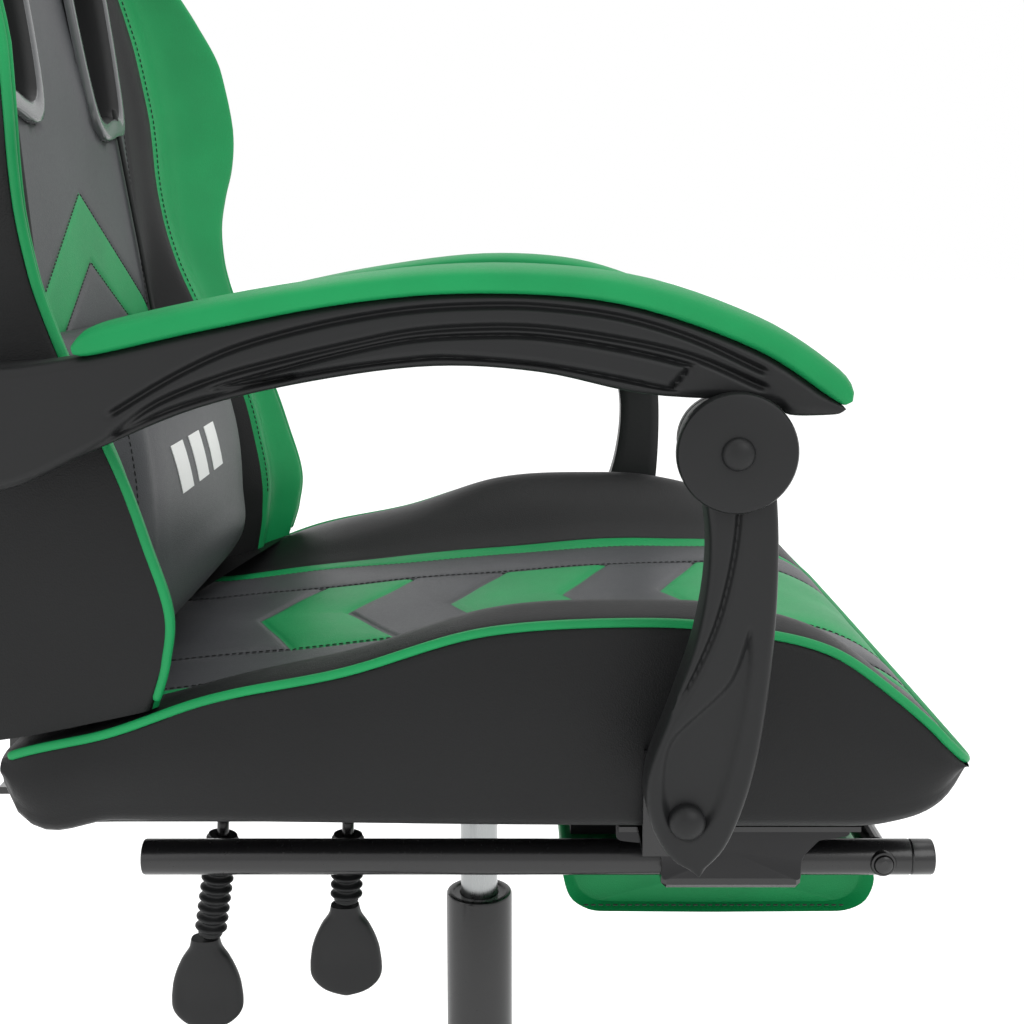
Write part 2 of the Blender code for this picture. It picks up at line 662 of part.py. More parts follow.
def build_back(seat):
    """Cushion body, its hinge plates, slot trims, and the lumbar and head cushions."""
    x, z = RECLINE_AXIS
    back = pivot("recline", x, 0, z, seat)
    cushion = loft("back_cushion", [bottom_section()] + [back_section(*row) for row in BACK_STATIONS[1:]])
    for name, side in SIDES:
        cut(cushion, slot_prism("slot", 0.0, -0.20, 0.20, side))
        cut(cushion, slot_prism("recess", 0.0135, 0.0002, 0.09, side))
        cut(cushion, block("hinge_pocket", (-0.36, side * 0.1445, 0.40), (-0.20, side * 0.1660, 0.486)))
        cut(cushion, block("plate_pocket", (-0.3000, side * 0.1550, 0.44), (-0.2640, side * 0.1620, 0.566)))
        bore = (ARM_REAR_AXIS[0], ARM_REAR_AXIS[1])
        cut(cushion, rod("arm_bore", (bore[0], side * 0.238, bore[1]), (bore[0], side * 0.29, bore[1]), 0.0126, 20))

        arc = [math.radians(a) for a in range(180, 361, 20)]
        outline = [(x + 0.0125 * math.cos(a), z + 0.0125 * math.sin(a)) for a in arc]
        outline += [(x + 0.0110, 0.562), (x - 0.0160, 0.562)]
        hinge = plate(f"back_bracket_{name}", outline, (side * 0.1560, side * 0.1610), smooth=False)
        cut(hinge, rod("pin_hole", (x, side * 0.15, z), (x, side * 0.17, z), 0.0053, 12))
        hang(hinge, back, "black_steel")

        trim = slot_prism("trim", 0.013, 0.0006, 0.0050, side)
        union(trim, slot_prism("liner", -0.0005, -0.0740, 0.0040, side))
        cut(trim, slot_prism("hole", -0.0035, -0.20, 0.20, side))
        trim.name = f"harness_trim_{name}"
        hang(trim, back, "gloss_plastic")

        collar, head = ARM_Y[0] - GAP - 0.240, ARM_Y[1] + GAP - 0.240
        profile = [(0, head + 0.0060), (0.0060, head + 0.0055), (0.0105, head + 0.0030), (0.0105, head)]
        profile += [(0.0050, head), (0.0050, collar), (0.0120, collar), (0.0120, 0), (0, 0)]
        bolt = turned("bolt", profile, along_y(bore[0], side * 0.240, bore[1], side), 14)
        bolt.name = f"arm_rear_bolt_{name}"
        hang(bolt, back, "black_steel")
    hang(cushion, back, "black_leather")

    rows = (
        (0.4790, -0.2190, 0.168),
        (0.4900, -0.2050, 0.179),
        (0.5400, -0.1980, 0.180),
        (0.6000, -0.2010, 0.170),
        (0.6450, -0.2140, 0.158),
        (0.6720, -0.2360, 0.148),
        (0.6820, -0.2530, 0.138),
    )
    sections = [pad_section(height, front, half) for height, front, half in rows]
    hang(loft("lumbar_cushion", sections), back, "grey_leather")
    rows = (
        (1.0300, 0.020, 0.095),
        (1.0400, 0.038, 0.115),
        (1.0750, 0.056, 0.128),
        (1.1300, 0.058, 0.130),
        (1.1650, 0.046, 0.124),
        (1.1800, 0.022, 0.108),
    )
    sections = [pad_section(height, back_middle(height) + thick, half, 0.0135) for height, thick, half in rows]
    hang(loft("head_cushion", sections), back, "black_leather")
    return back


def pad_section(z, front, half, stand_off=0.0025):
    """A horizontal section of a loose pad that lies on the backrest."""
    behind = back_middle(z) + stand_off
    soft = min(0.016, (front - behind) * 0.45)
    half_ring = [
        (behind, 0, z),
        (behind, half - 0.030, z),
        (behind + 0.0020, half - 0.008, z),
        (behind + (front - behind) * 0.5, half, z),
        (front - soft, half - 0.006, z),
        (front, half - 0.034, z),
        (front, 0, z),
    ]
    return both_halves(half_ring)


# ---- arms ------------------------------------------------------------------------------
ARM_TOP = (
    (-0.229, 0.6775),
    (-0.185, 0.6840),
    (-0.129, 0.6960),
    (-0.057, 0.7095),
    (0.007, 0.7145),
    (0.078, 0.7095),
    (0.145, 0.6875),
    (0.186, 0.6620),
)
ARM_BOTTOM = (
    (0.187, 0.6540),
    (0.165, 0.6535),
    (0.152, 0.6600),
    (0.092, 0.6640),
    (0.039, 0.6750),
    (-0.015, 0.6780),
    (-0.075, 0.6705),
    (-0.133, 0.6570),
    (-0.185, 0.6360),
    (-0.228, 0.6165),
)
PAD_TOP = (
    (-0.196, 0.6935),
    (-0.180, 0.7010),
    (-0.094, 0.7190),
    (0.000, 0.7310),
    (0.083, 0.7260),
    (0.150, 0.7030),
    (0.193, 0.6760),
    (0.2015, 0.6640),
)


def arm_rear_arc():
    """The round rear end of the arm about its pivot."""
    arc = [math.radians(a) for a in (265, 235, 200, 165, 130, 95)]
    return [(ARM_REAR_AXIS[0] + 0.0325 * math.cos(a), ARM_REAR_AXIS[1] + 0.0325 * math.sin(a)) for a in arc]


def blade_outline():
    """The arm support seen from the side: a round head, a waist and a pointed lower end."""
    x, z = DISC_AXIS
    head = [(x + 0.0190 * math.cos(math.radians(a)), z + 0.0190 * math.sin(math.radians(a))) for a in (10, 50, 90, 130, 170)]
    left = [(0.1255, 0.590), (0.1215, 0.545), (0.1090, 0.503), (0.0965, 0.466), (0.0970, 0.441), (0.1080, 0.4190)]
    right = [(0.1240, 0.4085), (0.1400, 0.4280), (0.1530, 0.4700), (0.1600, 0.530), (0.1610, 0.590)]
    return head + left + right


def build_arms(seat, back):
    """Each side is a four-bar linkage: seat, backrest, arm and support, with equal long sides."""
    for name, side in SIDES:
        arm = pivot(f"arm_{name}", ARM_REAR_AXIS[0], side * 0.295, ARM_REAR_AXIS[1], back)
        outline = list(ARM_TOP) + list(ARM_BOTTOM) + arm_rear_arc()
        body = rounded(plate("body", outline, (side * ARM_Y[0], side * ARM_Y[1])), 0.005)
        x, z = DISC_AXIS
        ear = [(x + 0.024 * math.cos(math.radians(a)), z + 0.024 * math.sin(math.radians(a))) for a in range(180, 361, 20)]
        ear += [(x + 0.024, z + 0.034), (x - 0.024, z + 0.034)]
        union(body, plate("ear", ear, (side * EAR_Y[0], side * EAR_Y[1]), smooth=False))
        cut(body, rod("pivot_hole", (x, side * 0.25, z), (x, side * 0.31, z), 0.0053, 12))
        rear = ARM_REAR_AXIS
        cut(body, rod("rear_hole", (rear[0], side * 0.25, rear[1]), (rear[0], side * 0.34, rear[1]), 0.0055, 12))
        body.name = f"arm_body_{name}"
        hang(body, arm, "black_plastic")

        under = [(px, pz + 0.0003) for px, pz in ARM_TOP[1:]]
        cap = [(-0.199, 0.6860)] + list(PAD_TOP) + [(0.1975, 0.6590)] + under[::-1]
        pad = rounded(plate("pad", cap, (side * PAD_Y[0], side * PAD_Y[1])), 0.0045)
        cut(pad, plate("clearance", grown_arm(), (side * 0.24, side * 0.35)))
        pad.name = f"arm_pad_{name}"
        hang(pad, arm, "green_leather")

        low = SUPPORT_AXIS
        support = pivot(f"support_{name}", low[0], side * 0.31, low[1], seat)
        blade = rounded(plate("blade", blade_outline(), (side * BLADE_Y[0], side * BLADE_Y[1])), 0.0035)
        cut(blade, rod("low_hole", (low[0], side * 0.28, low[1]), (low[0], side * 0.34, low[1]), 0.0054, 12))
        cut(blade, rod("high_hole", (x, side * 0.28, z), (x, side * 0.34, z), 0.0050 + GAP, 12))
        blade.name = f"arm_support_{name}"
        hang(blade, support, "black_plastic")

        thick = DISC_Y[1] - DISC_Y[0]
        ring = [(DISC_R - 0.0015, thick), (DISC_R, thick - 0.0015), (DISC_R, 0.001), (DISC_R - 0.001, 0)]
        ring += [(0.0050 + GAP, 0), (0.0050 + GAP, thick)]
        disc = turned(f"pivot_disc_{name}", ring, along_y(x, side * DISC_Y[0], z, side), 28, closed=True)
        hang(disc, support, "black_plastic")
        length = DISC_Y[1] + GAP - 0.2735
        knob = [(0, 0.0062), (0.0035, 0.0058), (0.0065, 0.0040), (0.0082, 0), (0.0050, 0), (0.0050, -length), (0, -length)]
        bolt = turned(f"disc_bolt_{name}", knob, along_y(x, side * (DISC_Y[1] + GAP), z, side), 14)
        hang(bolt, support, "black_plastic")


def grown_arm():
    """The arm's outline with its top edge raised by the gap under the pad."""
    top = [(px, pz + 0.0004) for px, pz in ARM_TOP[:-1]]
    return top + [(0.1865, 0.6625)] + [(0.1875, 0.6535)] + list(ARM_BOTTOM[1:]) + arm_rear_arc()


# ---- footrest --------------------------------------------------------------------------
def build_footrest(seat):
    """Two rails that slide under the seat, the axle between them, and the pad that flips on it."""
    slide = pivot("footrest_slide", 0, 0, RAIL_Z, seat)
    for name, side in SIDES:
        wall = RAIL_R - 0.0015
        middle = RAIL_X[1] - RAIL_X[0]
        profile = [(0, middle), (RAIL_R - 0.001, middle), (RAIL_R, middle - 0.001), (RAIL_R, 0.001), (RAIL_R - 0.001, 0)]
        profile += [(wall, 0), (wall, middle - 0.020), (0, middle - 0.020)]
        place = Matrix.Translation((RAIL_X[0], side * RAIL_Y, RAIL_Z)) @ Matrix.Rotation(math.pi / 2, 4, "Y")
        rail = turned("rail", profile, place, 18)
        start = (FOOTREST_AXIS_X, side * 0.17, RAIL_Z)
        cut(rail, rod("axle_hole", start, (FOOTREST_AXIS_X, side * 0.23, RAIL_Z), 0.0035, 16))
        rail.name = f"footrest_rail_{name}"
        hang(rail, slide, "black_steel")

    flat = RAIL_Y - RAIL_R - 0.0006
    head = RAIL_Y + RAIL_R + 0.0006
    half = [(0, head + 0.0030), (0.0030, head + 0.0030), (0.0055, head + 0.0018), (0.0060, head)]
    half += [(0.0031, head), (0.0031, flat), (AXLE_R, flat)]
    profile = half + [(radius, -height) for radius, height in reversed(half)]
    axle = turned("footrest_axle", profile, along_y(FOOTREST_AXIS_X, 0, RAIL_Z, 1), 20)
    hang(axle, slide, "black_steel")

    flip = pivot("footrest_flip", FOOTREST_AXIS_X, 0, RAIL_Z, slide)
    half_width = FOOTREST_HALF_WIDTH
    outline = [(0.0550, 0.3700), (0.0570, 0.3480), (0.0620, 0.3310), (0.0740, 0.3225), (0.2360, 0.3225)]
    outline += [(0.2490, 0.3290), (0.2530, 0.3420), (0.2530, 0.3530), (0.2400, 0.3560), (0.2380, 0.3700)]
    pad = rounded(plate("footrest_pad", outline, (-half_width, half_width), smooth=False), 0.006, 1, 50)
    pad.name = "footrest_pad"
    hang(pad, flip, "green_leather")
    board = block("footrest_board", (0.062, -half_width + 0.01, 0.3703), (0.236, half_width - 0.01, 0.3780))
    for name, side in SIDES:
        strap = block("strap", (0.200, side * 0.060, 0.3775), (0.262, side * 0.090, 0.3805))
        union(board, strap)
        union(board, block("hook", (0.2600, side * 0.060, 0.3580), (0.2630, side * 0.090, 0.3805)))
    hang(board, flip, "black_plastic")


# ---- assembly --------------------------------------------------------------------------
root = pivot("chair", 0, 0, 0)
root.location = (COLUMN_X, 0, SEAT_RISE)
build_base(root)
seat_body = build_lift(root)
mechanism(seat_body)
for lever_kind in LEVERS:
    lever(lever_kind, seat_body)
build_seat(seat_body)
back_body = build_back(seat_body)
build_arms(seat_body, back_body)
build_footrest(seat_body)
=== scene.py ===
"""Covers, mouldings, stitching and finishes of a reclining gaming chair, built round its CAD frame.

Run as a script, it makes every visible piece, rides each one on its CAD body and sets the studio.
Shapes are written in metres in the seat's own frame, as on the CAD side: its Z axis is the lift
column's, and it stands SEAT_RISE above the floor.
"""

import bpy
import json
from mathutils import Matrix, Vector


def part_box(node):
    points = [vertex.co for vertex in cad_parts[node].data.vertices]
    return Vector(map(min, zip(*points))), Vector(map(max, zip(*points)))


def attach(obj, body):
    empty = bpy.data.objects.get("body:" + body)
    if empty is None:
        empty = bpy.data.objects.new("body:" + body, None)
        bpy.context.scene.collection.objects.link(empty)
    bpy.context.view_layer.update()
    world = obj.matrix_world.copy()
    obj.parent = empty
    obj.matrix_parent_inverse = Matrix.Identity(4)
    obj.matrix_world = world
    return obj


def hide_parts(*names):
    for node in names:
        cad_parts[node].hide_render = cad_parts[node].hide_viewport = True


bl_info = {
    "name": "Gaming Chair Trim",
    "version": (1, 0, 0),
    "blender": (4, 5, 0),
    "location": "3D View > Sidebar > Chair",
    "description": "Builds the covers, trims and finishes of a reclining gaming chair",
    "category": "Object",
}

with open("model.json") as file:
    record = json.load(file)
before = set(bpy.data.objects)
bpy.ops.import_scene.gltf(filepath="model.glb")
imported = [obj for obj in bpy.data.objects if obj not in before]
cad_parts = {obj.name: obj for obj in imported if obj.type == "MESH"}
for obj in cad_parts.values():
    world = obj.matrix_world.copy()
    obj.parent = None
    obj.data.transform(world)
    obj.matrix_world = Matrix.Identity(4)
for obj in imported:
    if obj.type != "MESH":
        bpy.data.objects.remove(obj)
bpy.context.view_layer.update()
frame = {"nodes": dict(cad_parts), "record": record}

import json
import math

import bpy
import bmesh
import numpy as np
from bpy.props import FloatProperty, FloatVectorProperty, PointerProperty
from mathutils import Matrix, Vector

TUBE_LOW, TUBE_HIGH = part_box("column_tube")
COLUMN_X = (TUBE_LOW.x + TUBE_HIGH.x) / 2
SEAT_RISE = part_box("seat_cushion")[0].z - 0.4125
SHIFT = np.array((COLUMN_X, 0.0, SEAT_RISE))
SIDES = (("left", 1), ("right", -1))

# Places on the CAD frame that the covers follow, in the chair's own frame.
ARM_REAR_AXIS = (-0.262, 0.645)
SUPPORT_AXIS = (0.117, 0.439)
DISC_AXIS = (0.137, 0.636)
ARM_Y = (0.2700, 0.3235)
BLADE_Y = (0.3000, 0.3250)
DISC_Y = (0.3258, 0.3360)
RAIL_Y, RAIL_Z, RAIL_R = 0.200, 0.366, 0.011
RAIL_X = (-0.202, 0.284)
ARM_END_RADIUS, BLADE_TOP_RADIUS = 0.0325, 0.0190
PAD_MIDDLE_Y, PAD_HALF_WIDTH = 0.29525, 0.03125
FOOTREST_X = 0.2515
SLOT_Z, SLOT_TILT = 0.885, math.atan(0.15)
STEM_RADIUS, WHEEL_R, TRAIL = 0.300, 0.0275, 0.016
CASTER_YAWS = (270, 35, 120, 285, 330)


# ---- curves and grids ------------------------------------------------------------------
def spline(points, per=8, closed=False):
    """Catmull-Rom points through the given ones."""
    p = np.asarray(points, float)
    if closed:
        p = np.vstack([p[-1:], p, p[:2]])
    else:
        p = np.vstack([2 * p[:1] - p[1:2], p, 2 * p[-1:] - p[-2:-1]])
    t = np.linspace(0, 1, per, endpoint=False)[:, None]
    runs = []
    for a, b, c, d in zip(p, p[1:], p[2:], p[3:]):
        bend = (2 * a - 5 * b + 4 * c - d) * t**2 + (3 * b - a - 3 * c + d) * t**3
        runs.append(0.5 * (2 * b + (c - a) * t + bend))
    if not closed:
        runs.append(p[-2:-1])
    return np.vstack(runs)


def along(points):
    """How far each point lies along its line."""
    return np.r_[0, np.cumsum(np.linalg.norm(np.diff(points, axis=0), axis=1))]


def even(points, count):
    """The line resampled to this many evenly spaced points."""
    p = np.asarray(points, float)
    d = along(p)
    s = np.linspace(0, d[-1], count)
    return np.stack([np.interp(s, d, p[:, i]) for i in range(p.shape[1])], 1)


def eased(rows, at):
    """Smooth values of a table at these places. Its first column is the place."""
    rows = np.asarray(rows, float)
    place, value = rows[:, 0], rows[:, 1:]
    step = np.diff(place)[:, None]
    slope = np.diff(value, axis=0) / step
    inner = (slope[:-1] + slope[1:]) / 2
    inner[slope[:-1] * slope[1:] <= 0] = 0
    m = np.vstack([slope[:1], inner, slope[-1:]])
    at = np.clip(np.asarray(at, float), place[0], place[-1])
    i = np.clip(np.searchsorted(place, at) - 1, 0, len(place) - 2)
    h = step[i]
    t = (at - place[i])[:, None] / h
    low = (2 * t**3 - 3 * t**2 + 1) * value[i] + (t**3 - 2 * t**2 + t) * h * m[i]
    return low + (3 * t**2 - 2 * t**3) * value[i + 1] + (t**3 - t**2) * h * m[i + 1]


def stops(start, end, step, marks):
    """Places from start to end, close together beside each mark so that a seam there is crisp."""
    base = np.arange(start, end + step / 2, step)
    for mark in marks:
        base = base[np.abs(base - mark) > 0.0055]
    extra = [mark + d for mark in marks for d in (-0.0045, -0.0022, 0, 0.0022, 0.0045)]
    every = np.r_[base, extra, start, end]
    return np.unique(np.round(every[(every >= start) & (every <= end)], 6))


def mirrored(half):
    """A closed ring from its +Y half, whose ends lie on the middle plane."""
    return np.concatenate([half, half[:, -2:0:-1] * (1, -1, 1)], 1)


def arc(centre, radius, angles):
    """(x, z) points round a centre, at angles in degrees."""
    x, z = centre
    return [(x + radius * math.cos(math.radians(a)), z + radius * math.sin(math.radians(a))) for a in angles]


def trough(distance, depth, width):
    return -depth * np.exp(-((distance / width) ** 2))


def gap_to(line, x, z):
    """Distance from each (x, z) to a line of points."""
    line = np.asarray(line, float)
    best = np.full(np.shape(x), 1e9)
    for (ax, az), (bx, bz) in zip(line, line[1:]):
        dx, dz = bx - ax, bz - az
        t = np.clip(((x - ax) * dx + (z - az) * dz) / max(dx * dx + dz * dz, 1e-12), 0, 1)
        best = np.minimum(best, np.hypot(x - ax - t * dx, z - az - t * dz))
    return best


def within(outline, x, z):
    """True where (x, z) lies inside the closed outline."""
    outline = np.asarray(outline, float)
    inside = np.zeros(np.shape(x), bool)
    for (ax, az), (bx, bz) in zip(outline, np.roll(outline, -1, 0)):
        if az != bz:
            crosses = (az > z) != (bz > z)
            inside ^= crosses & (x < (bx - ax) * (z - az) / (bz - az) + ax)
    return inside


# ---- meshes ----------------------------------------------------------------------------
def make(name, points, faces, body, finishes, paint=None, sharp=60):
    """A piece from points in the chair's frame, riding on a CAD body."""
    mesh = bpy.data.meshes.new(name)
    mesh.from_pydata((np.asarray(points, float) + SHIFT).tolist(), [], faces)
    for finish in finishes:
        mesh.materials.append(bpy.data.materials[finish])
    if paint is not None:
        mesh.polygons.foreach_set("material_index", np.asarray(paint, np.int32))
    bm = bmesh.new()
    bm.from_mesh(mesh)
    bmesh.ops.remove_doubles(bm, verts=bm.verts[:], dist=0.000002)
    bmesh.ops.recalc_face_normals(bm, faces=bm.faces[:])
    if bm.calc_volume(signed=True) < 0:
        bmesh.ops.reverse_faces(bm, faces=bm.faces[:])
    bm.to_mesh(mesh)
    bm.free()
    piece = bpy.data.objects.new(name, mesh)
    bpy.context.scene.collection.objects.link(piece)
    mesh.shade_smooth()
    mesh.set_sharp_from_angle(angle=math.radians(sharp))
    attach(piece, body)
    return piece


def grid_faces(rows, cols, first=0, caps=True):
    """Quads of a grid of points, closed across, with a fan over each end if it has caps.

    The two points of the fans follow the grid's.
    """
    faces = []
    for r in range(rows - 1):
        for c in range(cols):
            n = (c + 1) % cols
            low, high = first + r * cols, first + (r + 1) * cols
            faces.append((low + c, low + n, high + n, high + c))
    if caps:
        end = first + rows * cols
        last = first + (rows - 1) * cols
        faces += [(end, first + (c + 1) % cols, first + c) for c in range(cols)]
        faces += [(end + 1, last + c, last + (c + 1) % cols) for c in range(cols)]
    return faces


def skin(name, grid, body, finishes, paint=None, sharp=60):
    """A closed form from a row of rings."""
    rows, cols = grid.shape[:2]
    points = np.vstack([grid.reshape(-1, 3), grid[0].mean(0), grid[-1].mean(0)])
    if paint is not None:
        paint = np.r_[paint.ravel(), np.zeros(2 * cols, int)]
    return make(name, points, grid_faces(rows, cols), body, finishes, paint, sharp)


def frames(path):
    """Two directions square to the path at each of its points."""
    path = np.asarray(path, float)
    tangent = np.gradient(path, axis=0)
    tangent /= np.linalg.norm(tangent, axis=1)[:, None]
    side = np.cross(tangent[0], (0, 0, 1))
    if np.linalg.norm(side) < 0.1:
        side = np.cross(tangent[0], (0, 1, 0))
    sides = []
    for t in tangent:
        side = side - t * (side @ t)
        side /= np.linalg.norm(side)
        sides.append(side)
    sides = np.array(sides)
    return sides, np.cross(tangent, sides), tangent


def tube(name, path, radius, body, finish, ring=12):
    """A round cord or bar along the path, its ends rounded."""
    path = np.asarray(path, float)
    radii = np.full(len(path), radius) if np.isscalar(radius) else np.asarray(radius, float)
    one, two, tangent = frames(path)
    head = [path[0] - tangent[0] * radii[0] * k for k in (0.95, 0.6)]
    tail = [path[-1] + tangent[-1] * radii[-1] * k for k in (0.6, 0.95)]
    centre = np.vstack([head, path, tail])
    one = np.vstack([one[:1], one[:1], one, one[-1:], one[-1:]])
    two = np.vstack([two[:1], two[:1], two, two[-1:], two[-1:]])
    wide = np.r_[radii[0] * 0.3, radii[0] * 0.8, radii, radii[-1] * 0.8, radii[-1] * 0.3]
    angle = np.linspace(0, math.tau, ring, endpoint=False)
    around = one[:, None] * np.cos(angle)[None, :, None] + two[:, None] * np.sin(angle)[None, :, None]
    return skin(name, centre[:, None] + around * wide[:, None, None], body, [finish])


def stitches(name, lines, body, thick=0.00045):
    """One run of thread along each line: a short capsule, a gap, and so on."""
    sizes = bpy.context.scene.chair_sizes
    pitch, length = sizes.stitch_pitch, sizes.stitch_length
    points, faces, rings = [], [], (0.0, 0.16, 0.5, 0.84, 1.0)
    plump = (0.35, 0.85, 1.0, 0.85, 0.35)
    angle = np.linspace(0, math.tau, 6, endpoint=False)
    for line in lines:
        line = np.asarray(line, float)
        d = along(line)
        for s in np.arange(pitch / 2, d[-1] - length, pitch):
            ends = [[np.interp(k, d, line[:, i]) for i in range(3)] for k in (s, s + length)]
            a, b = np.array(ends)
            one, two, _ = frames(np.array([a, (a + b) / 2, b]))
            around = np.outer(np.cos(angle), one[0]) + np.outer(np.sin(angle), two[0])
            first = len(points)
            for share, fat in zip(rings, plump):
                points.extend(a + (b - a) * share + around * thick * fat)
            points.extend([a, b])
            faces += grid_faces(len(rings), len(angle), first)
    return make(name, points, faces, body, ["thread"])


def lathe(name, profile, place, body, finish, steps=48, sharp=35):
    """A turned piece: (radius, height) points from one end to the other, spun about the place's Z."""
    profile = np.asarray(profile, float)
    angle = np.linspace(0, math.tau, steps, endpoint=False)
    grid = np.zeros((len(profile), steps, 3))
    grid[..., 0] = profile[:, :1] * np.cos(angle)
    grid[..., 1] = profile[:, :1] * np.sin(angle)
    grid[..., 2] = profile[:, 1:]
    turn = np.array(place.to_3x3())
    grid = grid @ turn.T + np.array(place.translation)
    if profile[0, 0] == profile[-1, 0] and profile[0, 1] == profile[-1, 1]:
        points = grid[:-1].reshape(-1, 3)
        count = len(profile) - 1
        faces = grid_faces(count, steps, caps=False)
        last = (count - 1) * steps
        faces += [(last + c, last + (c + 1) % steps, (c + 1) % steps, c) for c in range(steps)]
        return make(name, points, faces, body, [finish], sharp=sharp)
    return skin(name, grid, body, [finish], sharp=sharp)


def fillet(corners, radius, per=4):
    """The profile with each inner corner rounded."""
    corners = [np.array(c, float) for c in corners]
    out = [corners[0]]
    for a, b, c in zip(corners, corners[1:], corners[2:]):
        reach = min(radius, np.linalg.norm(a - b) * 0.45, np.linalg.norm(c - b) * 0.45)
        start = b + (a - b) / max(np.linalg.norm(a - b), 1e-9) * reach
        end = b + (c - b) / max(np.linalg.norm(c - b), 1e-9) * reach
        for t in np.linspace(0, 1, per):
            out.append((1 - t) ** 2 * start + 2 * t * (1 - t) * b + t**2 * end)
    out.append(corners[-1])
    return np.array(out)


def along_y(x, y, z, side):
    """Places a turned piece with its axis on Y, its top facing the given side."""
    return Matrix.Translation((x, y, z)) @ Matrix.Rotation(-side * math.pi / 2, 4, "X")


def cut(piece, cutter):
    """Takes the cutter out of the piece, and applies it."""
    step = piece.modifiers.new("cut", "BOOLEAN")
    step.operation = "DIFFERENCE"
    step.object = cutter
    graph = bpy.context.evaluated_depsgraph_get()
    mesh = bpy.data.meshes.new_from_object(piece.evaluated_get(graph))
    piece.modifiers.clear()
    piece.data = mesh
    bpy.data.objects.remove(cutter, do_unlink=True)


# ---- finishes --------------------------------------------------------------------------
FINISH_BY_SLOT = {
    "base_plastic": "grained nylon",
    "black_plastic": "moulded plastic",
    "gloss_plastic": "polished plastic",
    "caster_tyre": "caster tread",
    "black_steel": "powder coat",
    "silver_steel": "ground steel",
    "board": "plywood",
    "black_leather": "black leather",
    "grey_leather": "grey leather",
    "green_leather": "green leather",
}


def finish_of(
    name, colour, roughness, grain, depth, mottle=0.10, cells=True, stretch=(1, 1, 1), **sockets
):
    """A node-based finish: mottled colour, uneven gloss, and a bump of grain."""
    made = bpy.data.materials.new(name)
    made.use_nodes = True
    nodes, links = made.node_tree.nodes, made.node_tree.links
    shader = nodes["Principled BSDF"]
    for socket, value in sockets.items():
        shader.inputs[socket.replace("_", " ")].default_value = value
    place = nodes.new("ShaderNodeTexCoord")
    scale = nodes.new("ShaderNodeMapping")
    scale.inputs["Scale"].default_value = stretch
    links.new(place.outputs["Object"], scale.inputs["Vector"])

    patches = nodes.new("ShaderNodeTexNoise")
    patches.inputs["Scale"].default_value = 14.0
    patches.inputs["Detail"].default_value = 6.0
    links.new(scale.outputs["Vector"], patches.inputs["Vector"])
    tones = nodes.new("ShaderNodeValToRGB")
    tones.color_ramp.elements[0].position, tones.color_ramp.elements[1].position = 0.30, 0.70
    tones.color_ramp.elements[0].color = (*[c * (1 - mottle) for c in colour], 1)
    tones.color_ramp.elements[1].color = (*[min(1, c * (1 + mottle)) for c in colour], 1)
    links.new(patches.outputs["Fac"], tones.inputs["Fac"])
    links.new(tones.outputs["Color"], shader.inputs["Base Color"])

    fine = nodes.new("ShaderNodeTexNoise")
    fine.inputs["Scale"].default_value = grain * 0.35
    fine.inputs["Detail"].default_value = 4.0
    links.new(scale.outputs["Vector"], fine.inputs["Vector"])
    gloss = nodes.new("ShaderNodeMapRange")
    gloss.inputs["To Min"].default_value = roughness * 0.86
    gloss.inputs["To Max"].default_value = min(1.0, roughness * 1.14)
    links.new(fine.outputs["Fac"], gloss.inputs["Value"])
    links.new(gloss.outputs["Result"], shader.inputs["Roughness"])

    bump = nodes.new("ShaderNodeBump")
    bump.inputs["Distance"].default_value = depth
    bump.inputs["Strength"].default_value = 0.6
    if cells:
        pores = nodes.new("ShaderNodeTexVoronoi")
        pores.inputs["Scale"].default_value = grain
        links.new(scale.outputs["Vector"], pores.inputs["Vector"])
        links.new(pores.outputs["Distance"], bump.inputs["Height"])
    else:
        links.new(fine.outputs["Fac"], bump.inputs["Height"])
    links.new(bump.outputs["Normal"], shader.inputs["Normal"])
    return made


def make_finishes():
    """Every finish that the pieces and the CAD nodes take."""
    colours = bpy.context.scene.chair_colours
    green, black, grey = tuple(colours.green), tuple(colours.black), tuple(colours.grey)
    leather = {"grain": 1100, "depth": 0.00020, "Specular_IOR_Level": 0.22}
    finish_of("black leather", black, 0.44, **leather)
    finish_of("grey leather", grey, 0.42, **leather)
    finish_of("green leather", green, 0.46, **leather)
    finish_of("arm pad skin", green, 0.52, 1600, 0.00012, Specular_IOR_Level=0.18)
    finish_of("thread", tuple(colours.thread), 0.75, 2600, 0.0001, cells=False)
    finish_of("printed mark", (0.80, 0.80, 0.79), 0.55, 2200, 0.00005, 0.03, cells=False)
    moulded = {
        "grain": 1500, "depth": 0.00010, "cells": False, "mottle": 0.06, "Specular_IOR_Level": 0.28,
    }
    finish_of("moulded plastic", tuple(colours.plastic), 0.46, **moulded)
    finish_of("grained nylon", (0.026, 0.027, 0.028), 0.58, 1300, 0.00016)
    finish_of("polished plastic", (0.085, 0.088, 0.092), 0.24, 900, 0.00003, 0.05, False, Coat_Weight=0.3)
    finish_of("powder coat", (0.006, 0.006, 0.0065), 0.26, 1400, 0.00007, 0.08, False, Coat_Weight=0.08)
    finish_of(
        "satin steel", (0.011, 0.011, 0.012), 0.46, 1400, 0.00007, 0.08, False,
        Specular_IOR_Level=0.3,
    )
    finish_of(
        "ground steel", (0.31, 0.32, 0.32), 0.28, 1200, 0.00003, 0.05, False, (1, 1, 0.03),
        Metallic=1.0,
    )
    finish_of("caster tread", (0.020, 0.020, 0.021), 0.52, 1800, 0.00010, 0.08, False)
    finish_of("plywood", (0.020, 0.020, 0.021), 0.66, 500, 0.00015, 0.22, False, (1, 0.06, 4))
    finish_of(
        "studio floor", (0.96, 0.96, 0.96), 0.90, 60, 0.0001, 0.01, False, Specular_IOR_Level=0.0,
        Emission_Color=(1, 1, 1, 1), Emission_Strength=0.22,
    )


